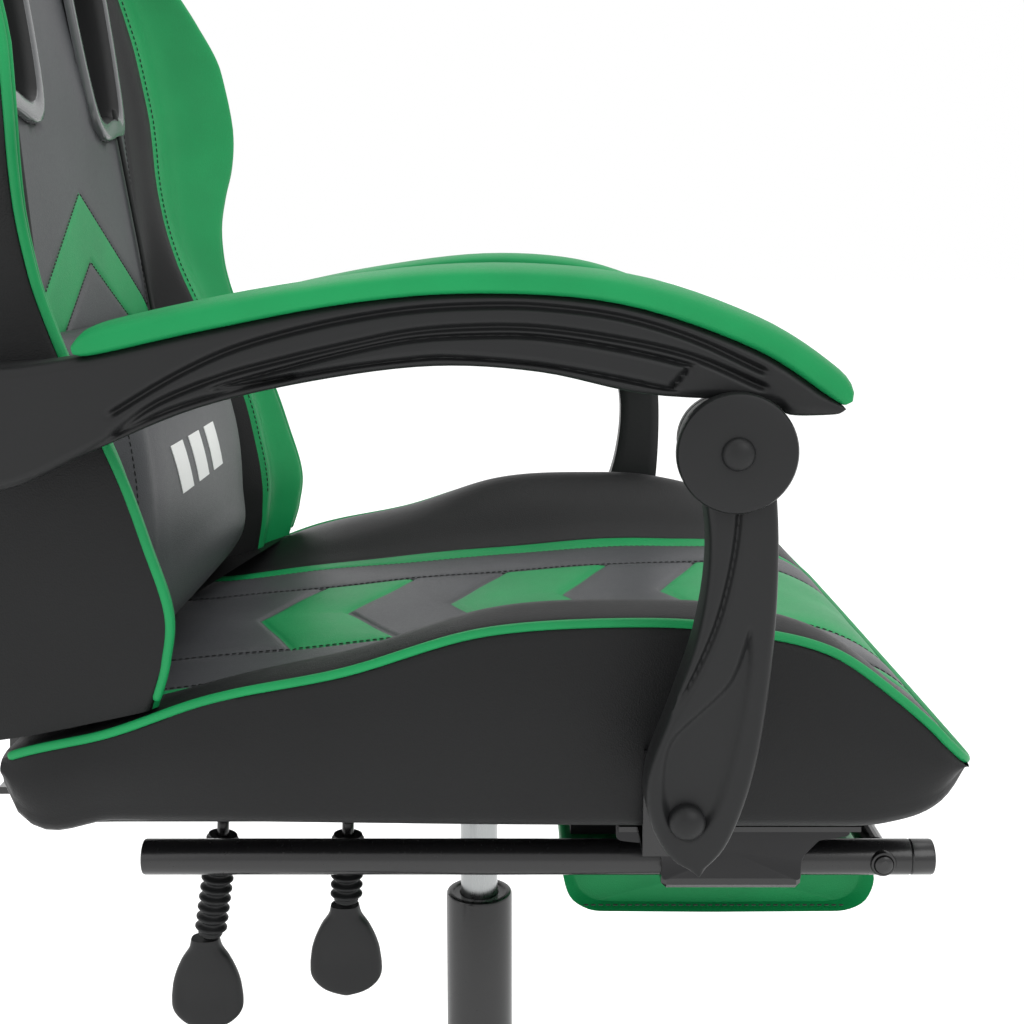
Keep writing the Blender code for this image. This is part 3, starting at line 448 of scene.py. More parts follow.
# ---- seat ------------------------------------------------------------------------------
SEAT_ROWS = (
    # X, bottom, piping, crest of the bolster, middle, half width
    (-0.2660, 0.4280, 0.4490, 0.4510, 0.4500, 0.2550),
    (-0.2570, 0.4120, 0.4530, 0.4550, 0.4540, 0.2590),
    (-0.2050, 0.4105, 0.4650, 0.4680, 0.4600, 0.2600),
    (-0.1500, 0.4100, 0.4830, 0.4865, 0.4660, 0.2600),
    (-0.0700, 0.4090, 0.5010, 0.5060, 0.4740, 0.2600),
    (0.0100, 0.4080, 0.5240, 0.5300, 0.4810, 0.2600),
    (0.0900, 0.4075, 0.5290, 0.5365, 0.4870, 0.2600),
    (0.1500, 0.4070, 0.5260, 0.5330, 0.4890, 0.2600),
    (0.2050, 0.4070, 0.5125, 0.5170, 0.4880, 0.2600),
    (0.2430, 0.4090, 0.4850, 0.4885, 0.4800, 0.2590),
    (0.2710, 0.4190, 0.4600, 0.4640, 0.4640, 0.2560),
    (0.2870, 0.4340, 0.4420, 0.4450, 0.4455, 0.2480),
)
SEAT_BACK_X, SEAT_FRONT_X = SEAT_ROWS[0][0], SEAT_ROWS[-1][0]
UNDERSIDE = 0.4006  # of the board under the cover
# Where a chevron's edge crosses the middle of the seat, and how far forward it has moved at its side seam.
SEAT_SWEEP = (
    (-0.266, 0.0), (-0.160, 0.036), (-0.096, 0.044), (-0.020, 0.040), (0.062, 0.038), (0.134, 0.036),
    (0.287, 0.0),
)
SEAT_CHEVRONS = (-0.160, -0.096, -0.020, 0.062, 0.134)
SEAT_SEAMS = (0.090, 0.157, 0.175)
FULL_HALF = 0.260


def seat_top(x, y):
    """Height of the seat at places x, for y measured as if the seat were full width there."""
    bottom, piping, crest, middle, half = eased(SEAT_ROWS, x).T
    outer = np.clip((y - 0.175) / (FULL_HALF - 0.175), 0, 1)
    y = np.where(y > 0.175, 0.175 + outer * (half - 0.175), y)
    z = np.empty(len(x))
    for i in range(len(x)):
        rise = crest[i] - middle[i]
        keys = [(0, middle[i]), (0.080, middle[i]), (0.155, middle[i]), (0.170, middle[i] + 0.06 * rise)]
        keys += [(0.184, middle[i] + 0.18 * rise), (0.208, middle[i] + 0.68 * rise), (0.232, crest[i])]
        keys += [(half[i] - 0.009, (piping[i] + crest[i]) / 2 + 0.001), (half[i], piping[i])]
        line = spline(keys, 6)
        z[i] = np.interp(y[i], line[:, 0], line[:, 1])
    return y, z


def build_seat():
    """Cover with sewn chevrons, side piping, seam stitching."""
    sizes = bpy.context.scene.chair_sizes
    rows = stops(SEAT_BACK_X, SEAT_FRONT_X, 0.0055, SEAT_CHEVRONS)
    cols = stops(0.0, FULL_HALF, 0.0050, SEAT_SEAMS)[::-1]
    sweep = eased(SEAT_SWEEP, rows)[:, 0]
    top = np.zeros((len(rows), len(cols), 3))
    for c, wide in enumerate(cols):
        x = rows + sweep * min(wide / SEAT_SEAMS[0], 1.0)
        y, z = seat_top(x, np.full(len(x), wide))
        seam = np.full(len(x), min(abs(wide - s) for s in SEAT_SEAMS))
        if wide <= SEAT_SEAMS[0] + 0.001:
            seam = np.minimum(seam, np.min([np.abs(rows - s) for s in SEAT_CHEVRONS], 0) * 0.9)
        ends = np.clip((rows - SEAT_BACK_X) / 0.03, 0, 1) * np.clip((SEAT_FRONT_X - rows) / 0.03, 0, 1)
        z += (trough(seam, sizes.seam_depth, 0.0022) + trough(seam, 0.0016, 0.013) + 0.0012) * ends
        z += 0.0007 * np.sin(41 * x + 3 * wide) * np.sin(60 * wide + 9 * x) * ends
        top[:, c] = np.stack([x, y, z], 1)
    edge_x = top[:, 0, 0]
    bottom, piping, _, _, half = eased(SEAT_ROWS, edge_x).T
    wall = []
    for t in np.linspace(0, 1, 14)[1:]:
        z = piping + (bottom + 0.011 - piping) * t
        wall.append(np.stack([edge_x, half + 0.0042 * math.sin(math.pi * t), z], 1))
    for a in (-22, -45, -68, -90):
        a = math.radians(a)
        reach = np.minimum(0.011, (piping - bottom) * 0.45)
        wall.append(
            np.stack([edge_x, half - reach * (1 - math.cos(a)), bottom + 0.011 + reach * math.sin(a)], 1)
        )
    sunk = np.where((edge_x > -0.245) & (edge_x < 0.245), np.minimum(bottom, UNDERSIDE), bottom)
    for share in (0.94, 0.92, 0.6, 0.4, 0.2, 0.0):
        wall.append(np.stack([edge_x, (half - 0.011) * share, bottom if share > 0.93 else sunk], 1))
    half_ring = np.concatenate([np.stack(wall[::-1], 1), top], 1)
    half_ring[..., 2] = np.maximum(half_ring[..., 2], sunk[:, None])

    paint = np.zeros((len(rows) - 1, half_ring.shape[1] - 1), int)
    middle_row = (rows[:-1] + rows[1:]) / 2
    first = len(wall)
    for c in range(len(cols) - 1):
        wide = (cols[c] + cols[c + 1]) / 2
        if wide < SEAT_SEAMS[0]:
            edges = np.searchsorted(SEAT_CHEVRONS, middle_row)
            paint[:, first + c] = np.where(edges % 2 == 1, 2, 1)
        elif wide < SEAT_SEAMS[1]:
            paint[:, first + c] = 1
        elif wide < SEAT_SEAMS[2]:
            paint[:, first + c] = 2
    paint = np.concatenate([paint, paint[:, ::-1]], 1)
    finishes = ["black leather", "grey leather", "green leather"]
    cover = skin("seat_cover", mirrored(half_ring), "seat", finishes, paint)
    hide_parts("seat_cushion", "seat_board")

    edge = top[:, 0][(edge_x > SEAT_BACK_X) & (edge_x < 0.275)]
    corner = [(0.2840, 0.2490, 0.4480), (0.2885, 0.2380, 0.4445), (0.2890, 0.2200, 0.4445)]
    near = np.vstack([edge, corner, [(0.2890, 0.10, 0.4450), (0.2890, 0.0, 0.4450)]])
    near[:, 1] += 0.0006
    path = np.vstack([near * (1, -1, 1), near[-2::-1]])
    tube(
        "seat_piping", even(spline(path, 3), 420), sizes.piping_radius, "seat", "green leather",
    )

    lines = []
    for seam, aside in ((SEAT_SEAMS[0], -1), (SEAT_SEAMS[0], 1), (SEAT_SEAMS[1], -1)):
        c = int(np.argmin(np.abs(cols - seam - aside * 0.0022)))
        run = top[4:-2, c] + (0, 0, 0.0002)
        lines += [run, run * (1, -1, 1)]
    stitches("seat_stitching", lines, "seat")


# ---- backrest --------------------------------------------------------------------------
BACK_ROWS = (
    # Z, half width, crest ahead of the middle, the seam's Y, its share of the crest, thickness
    (0.480, 0.2580, 0.066, 0.205, 0.70, 0.070),
    (0.505, 0.2600, 0.077, 0.205, 0.70, 0.072),
    (0.535, 0.2610, 0.084, 0.205, 0.72, 0.074),
    (0.575, 0.2620, 0.078, 0.205, 0.76, 0.075),
    (0.610, 0.2620, 0.071, 0.205, 0.78, 0.075),
    (0.690, 0.2600, 0.047, 0.193, 0.60, 0.075),
    (0.727, 0.2640, 0.042, 0.194, 0.42, 0.075),
    (0.753, 0.2710, 0.043, 0.197, 0.30, 0.075),
    (0.782, 0.2850, 0.049, 0.200, 0.22, 0.074),
    (0.800, 0.2950, 0.054, 0.202, 0.20, 0.074),
    (0.830, 0.3020, 0.059, 0.205, 0.20, 0.073),
    (0.885, 0.3010, 0.060, 0.207, 0.20, 0.072),
    (0.925, 0.2850, 0.050, 0.203, 0.20, 0.071),
    (0.945, 0.2700, 0.043, 0.198, 0.20, 0.070),
    (1.000, 0.2240, 0.024, 0.168, 0.20, 0.068),
    (1.050, 0.1760, 0.013, 0.134, 0.20, 0.066),
    (1.100, 0.1530, 0.008, 0.118, 0.20, 0.064),
    (1.200, 0.1500, 0.005, 0.114, 0.20, 0.062),
    (1.245, 0.1380, 0.002, 0.102, 0.20, 0.056),
    (1.270, 0.1120, -0.003, 0.080, 0.20, 0.040),
    (1.278, 0.0900, -0.010, 0.066, 0.20, 0.022),
)
BACK_CHEVRON = (0.725, 0.773)
BACK_SWEEP = ((0.463, 0.0), (0.600, 0.0), (0.725, 0.082), (0.773, 0.087), (0.880, 0.0), (1.278, 0.0))
SOLE = 0.4610  # lowest edge of the backrest, which lies on the slope of the seat
SOLE_TOP = 0.505


def back_middle(z):
    """X of the backrest's front face on the middle plane."""
    z = np.asarray(z, float)
    return np.where(z <= 0.84, -0.243 - 0.118 * (z - 0.48), -0.2855 - 0.19 * (z - 0.84))


def build_back():
    """Cover with bolsters and chevron, piping, stitching, and the openings for straps."""
    sizes = bpy.context.scene.chair_sizes
    rows = stops(SOLE, BACK_ROWS[-1][0], 0.0062, BACK_CHEVRON)
    sweep = eased(BACK_SWEEP, rows)[:, 0]
    inward = stops(0.0, 1.0, 0.055, [])[::-1]
    grid = []
    for w, drop in zip(rows, sweep):
        z = max(w - drop, SOLE)
        station = max(z, 0.480 + (z - SOLE) * 0.595) if z < SOLE_TOP else z
        half, ahead, seam, share, thick = eased(BACK_ROWS, [station])[0]
        middle = float(back_middle(station))
        rear, crest = middle - thick, middle + ahead
        edge, panel = crest - 0.002, seam - 0.044
        depth = edge - rear
        shell = [(rear, half - 0.045), (rear + min(0.012, 0.2 * depth), half - 0.008)]
        shell += [
            (rear + min(0.030, 0.45 * depth), half), (edge - min(0.012, 0.2 * depth), half),
            (edge, half - 0.003),
        ]
        front = [(edge, half - 0.003), (crest, half - 0.010)]
        front += [(middle + ahead * (0.16 + 0.84 * share), seam + 0.55 * (half - 0.010 - seam))]
        front += [(middle + ahead * share, seam), (middle + 0.05 * ahead, seam - 0.026), (middle, panel)]
        flat = np.array([(rear, y) for y in np.linspace(0, half - 0.045, 7)[:-1]])
        wall = spline(shell, 5)[:-1]
        bolster = spline(front, 8)
        across = panel * inward[1:]
        ring_y = np.r_[flat[:, 1], wall[:, 1], bolster[:, 1], across]
        ring_x = np.r_[flat[:, 0], wall[:, 0], bolster[:, 0], np.full(len(across), middle)]
        ring_z = np.full(len(ring_y), z)
        if z < SOLE_TOP:
            rise = (z - SOLE) / (SOLE_TOP - SOLE)
            ring_z = (1 - rise) * (SOLE + 0.21 * np.maximum(0, ring_x + 0.262)) + rise * SOLE_TOP
        if drop > 0:
            ring_z[-len(across):] = w - drop * inward[1:]
            ring_x[-len(across):] = back_middle(ring_z[-len(across):])
        first_front = len(flat) + len(wall)
        seam_cols = (first_front + 24, len(ring_y) - len(across) - 1)
        gap = np.min([np.hypot(ring_x - ring_x[c], ring_y - ring_y[c]) for c in seam_cols], 0)
        dent = trough(gap, 0.0010, 0.0035) + trough(gap, 0.0014, 0.012)
        dent[:first_front + 2] = 0
        near = min(abs(w - s) for s in BACK_CHEVRON)
        dent[-len(across):] += trough(np.full(len(across), near), sizes.seam_depth * 0.7, 0.0024)
        fade = np.clip((w - SOLE_TOP) / 0.03, 0, 1) * np.clip((1.262 - w) / 0.03, 0, 1)
        ring_x = ring_x + dent * fade
        grid.append(np.stack([ring_x, ring_y, ring_z], 1))
    grid = np.array(grid)

    paint = np.zeros((len(rows) - 1, grid.shape[1] - 1), int)
    paint[:, first_front:first_front + 24] = 2
    paint[:, first_front + 24:] = 0
    middle_row = (rows[:-1] + rows[1:]) / 2
    chevron = (middle_row > BACK_CHEVRON[0]) & (middle_row < BACK_CHEVRON[1])
    paint[:, seam_cols[1]:] = np.where(chevron, 2, 1)[:, None]
    paint = np.concatenate([paint, paint[:, ::-1]], 1)
    finishes = ["black leather", "grey leather", "green leather"]
    cover = skin("back_cover", mirrored(grid), "back", finishes, paint)
    for name, side in SIDES:
        cut(cover, slot_prism(f"opening_{name}", 0.0003, -0.20, 0.20, side))
        cut(cover, slot_prism(f"recess_{name}", 0.0135, 0.0004, 0.09, side))
    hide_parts("back_cushion")

    for name, side in SIDES:
        line = grid[:, first_front] * (1, side, 1)
        line = line[(rows > 0.470) & (rows < 1.262)] + (0.0010, side * 0.0008, 0)
        path = even(spline(line, 2), 320)
        tube(f"back_piping_{name}", path, sizes.piping_radius, "back", "green leather")
    lines = []
    for c in (seam_cols[0] - 1, seam_cols[1] + 1):
        run = grid[(rows > 0.52) & (rows < 1.24), c] + (0.0004, 0, 0)
        lines += [run, run * (1, -1, 1)]
    for edge_row in BACK_CHEVRON:
        r = int(np.argmin(np.abs(rows - edge_row)))
        run = grid[r, seam_cols[1]:] + (0.0006, 0, 0)
        lines += [run, run * (1, -1, 1)]
    stitches("back_stitching", lines, "back")

    for name, side in SIDES:
        lips = [(0.0130, 0.0006), (0.0129, 0.0048), (0.0118, 0.0060), (0.0090, 0.0064), (0.0020, 0.0060)]
        lips += [(-0.0004, 0.0048), (-0.0026, -0.0030), (-0.0035, -0.0100), (-0.0035, -0.0740)]
        lips += [(-0.0006, -0.0740), (-0.0006, -0.0020), (-0.0006, 0.0006)]
        rings = np.array([slot_ring(grow, ahead, side) for grow, ahead in lips])
        count = rings.shape[1]
        faces = grid_faces(len(lips), count, caps=False)
        last = (len(lips) - 1) * count
        faces += [(last + c, last + (c + 1) % count, (c + 1) % count, c) for c in range(count)]
        paint = np.r_[np.repeat([0] * 5 + [1] * (len(lips) - 6), count), np.ones(count, int)]
        finishes = ["polished plastic", "moulded plastic"]
        bezel = make(
            f"strap_bezel_{name}", rings.reshape(-1, 3), faces, "back", finishes, paint,
        )
        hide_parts(f"harness_trim_{name}")


SLOT_HOLE = (
    (0.070, -0.050), (0.116, -0.055), (0.138, -0.040), (0.150, 0.042), (0.138, 0.058),
    (0.080, 0.064), (0.061, 0.050),
)
SLOT_MIDDLE = (0.106, 0.0)


def slot_ring(grow, ahead, side):
    """The strap opening's outline, grown outwards and moved ahead of the backrest's face."""
    outline = []
    for y, v in SLOT_HOLE:
        away = Vector((y - SLOT_MIDDLE[0], v - SLOT_MIDDLE[1]))
        away += away.normalized() * grow
        outline.append((SLOT_MIDDLE[0] + away.x, SLOT_MIDDLE[1] + away.y))
    outline = spline(outline, 9, closed=True)
    c, s = math.cos(SLOT_TILT), math.sin(SLOT_TILT)
    x = float(back_middle(SLOT_Z)) - outline[:, 1] * s + ahead * c
    z = SLOT_Z + outline[:, 1] * c + ahead * s
    return np.stack([x, side * outline[:, 0], z], 1)


def slot_prism(name, grow, low, high, side):
    rings = np.array([slot_ring(grow, low, side), slot_ring(grow, high, side)])
    return skin(name, rings, "back", ["black leather"])


def cushion_rings(rows, stand_off, count, puff):
    """Rings of a loose cushion that lies on the backrest: (Z, front X, half width) rows."""
    heights = np.unique(np.r_[np.linspace(rows[0][0], rows[-1][0], count), [r[0] for r in rows]])
    rings = []
    for z in heights:
        front, half = eased(rows, [z])[0]
        behind = float(back_middle(z)) + stand_off
        deep = max(front - behind, 0.002)
        soft = min(0.016, deep * 0.45)
        keys = [(behind, half - 0.030), (behind + 0.0020, half - 0.008), (behind + deep * 0.5, half)]
        keys += [(front - soft, half - 0.006), (front - soft * 0.15, half - 0.020), (front, half - 0.040)]
        side = spline(keys, 5)
        back = np.array([(behind, y) for y in np.linspace(0, half - 0.030, 5)[:-1]])
        y = np.linspace(half - 0.040, 0, 12)[1:]
        crown = puff * (1 - (y / half) ** 2)
        ring = np.vstack([back, side, np.stack([front + crown, y], 1)])
        rings.append(np.stack([ring[:, 0], ring[:, 1], np.full(len(ring), z)], 1))
    return heights, np.array(rings)


LUMBAR_ROWS = (
    (0.4790, -0.2190, 0.168),
    (0.4900, -0.2050, 0.179),
    (0.5400, -0.1980, 0.180),
    (0.6000, -0.2010, 0.170),
    (0.6450, -0.2140, 0.158),
    (0.6720, -0.2360, 0.148),
    (0.6820, -0.2530, 0.138),
)
HEAD_ROWS = (
    (1.0300, 0.020, 0.095),
    (1.0400, 0.038, 0.115),
    (1.0750, 0.056, 0.128),
    (1.1300, 0.058, 0.130),
    (1.1650, 0.046, 0.124),
    (1.1800, 0.022, 0.108),
)


def build_loose_cushions():
    """Lumbar cushion with its elastics and three plain printed bars, and the head cushion."""
    heights, rings = cushion_rings(LUMBAR_ROWS, 0.0025, 44, 0.0015)
    cover = skin("lumbar_cover", mirrored(rings), "back", ["grey leather"])
    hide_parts("lumbar_cushion")
    seam = rings[2:-2, 22]
    lines = [seam + (0.0003, 0, 0), (seam + (0.0003, 0, 0)) * (1, -1, 1)]
    stitches("lumbar_stitching", lines, "back")

    for name, side in SIDES:
        heights = np.linspace(0.838, 0.668, 12)
        across = np.interp(heights, (0.668, 0.838), (0.146, 0.121))
        strap = np.stack([back_middle(heights) + 0.0026, side * across, heights], 1)
        tube(f"lumbar_strap_{name}", strap, 0.0019, "back", "thread", 10)

    points, faces = [], []
    for number in range(3):
        low = np.array((-0.062 + 0.052 * number, 0.572))
        corners = [low, low + (0.034, 0), low + (0.048, 0.034), low + (0.014, 0.034)]
        first = len(points)
        for u in np.linspace(0, 1, 9):
            for v in np.linspace(0, 1, 5):
                y, z = (
                    corners[0] * (1 - u) + corners[1] * u
                ) * (1 - v) + (corners[3] * (1 - u) + corners[2] * u) * v
                front, half = eased(LUMBAR_ROWS, [z])[0]
                points.append((front + 0.0015 * (1 - (y / half) ** 2) + 0.0005, -y, z))
        flat = len(points)
        points += [(x - 0.0010, y, z) for x, y, z in points[first:]]
        for r in range(8):
            for c in range(4):
                quad = (
                    first + r * 5 + c, first + r * 5 + c + 1, first + r * 5 + c + 6,
                    first + r * 5 + c + 5,
                )
                faces += [quad, tuple(i + flat - first for i in reversed(quad))]
        rim = [r * 5 for r in range(9)] + [40 + c for c in (1, 2, 3, 4)] + [
            r * 5 + 4
            for r in range(7, -1, -1)
        ] + [3, 2, 1]
        for a, b in zip(rim, rim[1:] + rim[:1]):
            faces.append((first + a, first + b, flat + b, flat + a))
    make("lumbar_mark", points, faces, "back", ["printed mark"])

    rows = [(z, float(back_middle(z)) + thick, half) for z, thick, half in HEAD_ROWS]
    heights, rings = cushion_rings(rows, 0.0135, 40, 0.0030)
    cover = skin("head_cover", mirrored(rings), "back", ["black leather"])
    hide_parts("head_cushion")
    rim = rings[2:-2, 19] + (0.0006, 0.0006, 0)
    for name, side in SIDES:
        path = even(rim * (1, side, 1), 60)
        tube(f"head_piping_{name}", path, 0.0020, "back", "green leather")


# ---- arms ------------------------------------------------------------------------------
ARM_TOP = (
    (-0.229, 0.6775), (-0.185, 0.6840), (-0.129, 0.6960), (-0.057, 0.7095), (0.007, 0.7145),
    (0.078, 0.7095), (0.145, 0.6875), (0.186, 0.6620),
)
ARM_BOTTOM = (
    (-0.228, 0.6165), (-0.185, 0.6360), (-0.133, 0.6570), (-0.075, 0.6705), (-0.015, 0.6780),
    (0.039, 0.6750), (0.092, 0.6640), (0.152, 0.6600), (0.165, 0.6535), (0.187, 0.6540),
)
PAD_TOP = (
    (-0.195, 0.6860), (-0.192, 0.6930), (-0.176, 0.7000), (-0.094, 0.7165), (0.000, 0.7275),
    (0.083, 0.7225), (0.150, 0.7010), (0.189, 0.6770), (0.1975, 0.6650), (0.1940, 0.6590),
)
ARM_GROOVES = (
    (
        (-0.175, 0.6548), (-0.1465, 0.6716), (-0.1183, 0.6850), (-0.0899, 0.6939), (-0.0575, 0.7013),
        (-0.0253, 0.7062), (0.0067, 0.7082), (0.0388, 0.7078), (0.0784, 0.7028), (0.115, 0.692),
        (0.150, 0.676),
    ),
    (
        (-0.175, 0.6444), (-0.1525, 0.6600), (-0.1200, 0.6730), (-0.0902, 0.6811), (-0.0578, 0.6885),
        (-0.0255, 0.6950), (0.0067, 0.6975), (0.0389, 0.6970), (0.0785, 0.6915), (0.115, 0.683),
        (0.150, 0.668),
    ),
)
ARM_LOW_RIB = (
    (-0.2334, 0.6153), (-0.2045, 0.6251), (-0.1754, 0.6422), (-0.1467, 0.6563), (-0.1127, 0.6664),
    (-0.0846, 0.6731),
)
ARM_LEAF = (
    (-0.1245, 0.6671), (-0.0903, 0.6766), (-0.0578, 0.6850), (-0.0255, 0.6914), (0.0067, 0.6934),
    (0.0389, 0.6929), (0.0785, 0.6870), (0.1110, 0.6795), (0.1130, 0.6776), (0.1063, 0.6690),
    (0.1028, 0.6670), (0.0788, 0.6721), (0.0389, 0.6791), (-0.0043, 0.6826), (-0.0257, 0.6816),
    (-0.058, 0.6776), (-0.0905, 0.6721),
)
BLADE_GROOVE = (
    (0.1401, 0.6200), (0.1401, 0.6051), (0.1390, 0.5891), (0.1360, 0.5694), (0.1300, 0.5450),
    (0.1200, 0.5200), (0.1085, 0.4980),
)
BLADE_LEAF = (
    (0.1060, 0.4830), (0.1025, 0.4600), (0.1060, 0.4395), (0.1190, 0.4290), (0.1320, 0.4420),
    (0.1400, 0.4657), (0.1460, 0.4960), (0.1500, 0.5275), (0.1470, 0.5460), (0.1370, 0.5170),
    (0.1200, 0.4987),
)


def plank(name, low, high, y_ends, side, body, finish, relief, count=150, deep=44, radius=0.006):
    """A flat moulding between two edge lines in X and Z, its outer face carrying a relief."""
    low, high = even(spline(low, 6), count), even(spline(high, 6), count)
    inner, outer = y_ends
    t = np.linspace(0, 1, deep)
    rings = []
    for a, b in zip(low, high):
        reach = np.linalg.norm(b - a)
        r = min(radius, 0.45 * reach, 0.45 * (outer - inner))
        face_x, face_z = (a[0] + (b[0] - a[0]) * t), (a[1] + (b[1] - a[1]) * t)
        from_edge = np.minimum(t, 1 - t) * reach
        drop = np.where(from_edge < r, r - np.sqrt(np.maximum(0, r * r - (r - from_edge) ** 2)), 0)
        face_y = outer - drop
        fade = np.clip(from_edge / 0.004, 0, 1) if reach > 0.004 else np.zeros(deep)
        face_y = face_y + relief(face_x, face_z) * fade
        back_y = inner + np.interp(from_edge, (0, r * 0.5), (r * 0.5, 0))
        face = np.stack([face_x, side * face_y, face_z], 1)
        back = np.stack([face_x, side * back_y, face_z], 1)[::-6]
        rings.append(np.vstack([face, back]))
    return skin(name, np.array(rings), body, [finish], sharp=50)


def arm_relief(x, z):
    """Long ribs along the arm and the leaf-shaped panel under them."""
    y = np.zeros(np.shape(x))
    for line in (*ARM_GROOVES, ARM_LOW_RIB):
        y += trough(gap_to(spline(line, 4), x, z), 0.0032, 0.0018)
    leaf = spline(ARM_LEAF, 3, closed=True)
    rim = gap_to(np.vstack([leaf, leaf[:1]]), x, z)
    y += trough(rim, 0.0030, 0.0014)
    y += np.where(within(leaf, x, z), 0.0010 * np.clip(rim / 0.004, 0, 1), 0)
    return y


def blade_relief(x, z):
    """A raised rim round the sunken lower panel, and the crease above it."""
    leaf = spline(BLADE_LEAF, 4, closed=True)
    rim = gap_to(np.vstack([leaf, leaf[:1]]), x, z)
    y = np.where(within(leaf, x, z), -0.0030 * np.clip(rim / 0.0035, 0, 1), 0)
    return y + trough(gap_to(spline(BLADE_GROOVE, 4), x, z), 0.0026, 0.0017)


def build_arms():
    """Armrest mouldings and their soft pads."""
    round_end = arc(ARM_REAR_AXIS, ARM_END_RADIUS, (180, 150, 120, 95))
    round_low = arc(ARM_REAR_AXIS, ARM_END_RADIUS, (180, 210, 240, 265))
    tip = [(0.1920, 0.6570)]
    for name, side in SIDES:
        body = f"arm_{name}"
        shell = plank(
            f"arm_shell_{name}", round_low + list(ARM_BOTTOM) + tip, round_end + list(ARM_TOP) + tip,
            ARM_Y, side, body, "moulded plastic", arm_relief, 260, 120,
        )
        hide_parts(f"arm_body_{name}")
        x, z = DISC_AXIS
        knuckle = [
            (0, 0), (0.0225, 0), (0.0240, 0.0015), (0.0240, 0.0070), (0.0228, 0.0082),
            (0.0240, 0.0094), (0.0240, 0.0170),
        ]
        knuckle += [(0.0228, 0.0182), (0.0240, 0.0194), (0.0240, 0.0250), (0.0225, 0.0262), (0, 0.0262)]
        lathe(
            f"arm_knuckle_{name}", knuckle, along_y(x, side * 0.2722, z, side), body,
            "moulded plastic",
        )

        top = even(spline(PAD_TOP, 6), 110)
        under = [(px, pz - 0.0012) for px, pz in ARM_TOP[1:]]
        low = even(spline([PAD_TOP[0]] + under + [PAD_TOP[-1]], 6), 110)
        angle = np.radians(np.linspace(0, 360, 40, endpoint=False))
        rings = []
        for a, b in zip(low, top):
            reach = np.linalg.norm(b - a)
            end = min(1.0, max(0.0, reach / 0.014)) ** 0.5
            cy = np.sign(np.cos(angle)) * np.abs(np.cos(angle)) ** 0.62
            cz = np.sign(np.sin(angle)) * np.abs(np.sin(angle)) ** np.where(np.sin(angle) > 0, 0.62, 0.35)
            share = 0.5 + 0.5 * cz
            px, pz = a[0] + (b[0] - a[0]) * share, a[1] + (b[1] - a[1]) * share
            crown = 0.0012 * np.clip(cz, 0, 1) * (1 - np.abs(cy))
            across = PAD_MIDDLE_Y + PAD_HALF_WIDTH * (0.80 + 0.20 * end) * cy
            rings.append(np.stack([px, side * across, pz + crown], 1))
        pad = skin(
            f"arm_pad_cover_{name}", np.array(rings)[1:-1], body, ["arm pad skin"],
        )
        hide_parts(f"arm_pad_{name}")


def build_supports():
    """Arm supports, their pivot discs, and the bolt heads."""
    x, z = DISC_AXIS
    crown = arc(DISC_AXIS, BLADE_TOP_RADIUS, (170, 130, 90))
    crown_right = arc(DISC_AXIS, BLADE_TOP_RADIUS, (10, 50, 90))
    left = [
        (0.1240, 0.4085), (0.1080, 0.4190), (0.0970, 0.4410), (0.0965, 0.466), (0.1090, 0.503),
        (0.1215, 0.545), (0.1255, 0.590),
    ]
    right = [(0.1240, 0.4085), (0.1400, 0.4280), (0.1530, 0.4700), (0.1600, 0.530), (0.1610, 0.590)]
    for name, side in SIDES:
        body = f"support_{name}"
        blade = plank(
            f"support_blade_{name}", right + crown_right, left + crown, BLADE_Y, side, body,
            "moulded plastic", blade_relief, 170, 56, 0.0045,
        )
        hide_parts(f"arm_support_{name}")
        thick = DISC_Y[1] - DISC_Y[0]
        face = [(0, 0), (0.0290, 0), (0.0302, 0.0010), (0.0304, thick - 0.0022), (0.0296, thick - 0.0006)]
        face += [(0.0280, thick), (0.0120, thick), (0, thick)]
        disc = lathe(
            f"pivot_cap_{name}", face, along_y(x, side * DISC_Y[0], z, side), body,
            "moulded plastic", 72,
        )
        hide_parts(f"pivot_disc_{name}")
        dome = [
            (0, -0.010), (0.0085, -0.010), (0.0086, -0.0005), (0.0081, 0.0014), (0.0068, 0.0030),
            (0.0046, 0.0041), (0.0022, 0.0046), (0, 0.0047),
        ]
        knob = lathe(
            f"pivot_dome_{name}", dome, along_y(x, side * (DISC_Y[1] + 0.0003), z, side), body,
            "moulded plastic", 40,
        )
        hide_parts(f"disc_bolt_{name}")
        low_x, low_z = SUPPORT_AXIS
        head = [
            (0, -0.030), (0.0048, -0.030), (0.0048, -0.0035), (0.0096, -0.0035), (0.0098, -0.0005),
            (0.0092, 0.0018), (0.0068, 0.0042), (0.0035, 0.0055), (0, 0.0058),
        ]
        bolt = lathe(
            f"support_bolt_cap_{name}", head,
            along_y(low_x, side * (BLADE_Y[1] + 0.0004), low_z, side), "seat", "moulded plastic", 40,
        )
        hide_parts(f"support_bolt_{name}")


BRACKET_SKIRT = (
    (0.0876, 0.3975), (0.0877, 0.3841), (0.1046, 0.3832), (0.1159, 0.3735), (0.1151, 0.3595),
    (0.1213, 0.3606), (0.1934, 0.3606), (0.1995, 0.3593), (0.2008, 0.3735), (0.2113, 0.3850),
    (0.2291, 0.3869), (0.2287, 0.3975),
)


def build_skirts():
    """Pressed plates over the rail sleeves, their lower corners bent out."""
    outline = fillet([BRACKET_SKIRT[-1], *BRACKET_SKIRT, BRACKET_SKIRT[0]], 0.0035, 5)[1:-1]
    centre = outline.mean(0)
    for name, side in SIDES:
        rings = []
        for y, scale in ((0.2100, 0.985), (0.2162, 1.0), (0.2176, 1.0), (0.2184, 0.985)):
            ring = centre + (outline - centre) * scale
            lip = 0.0026 * np.clip((0.3660 - ring[:, 1]) / 0.006, 0, 1)
            rings.append(np.stack([ring[:, 0], side * (y + lip), ring[:, 1]], 1))
        skin(
            f"bracket_skirt_{name}", np.array(rings), "seat", ["satin steel"],
            sharp=35,
        )


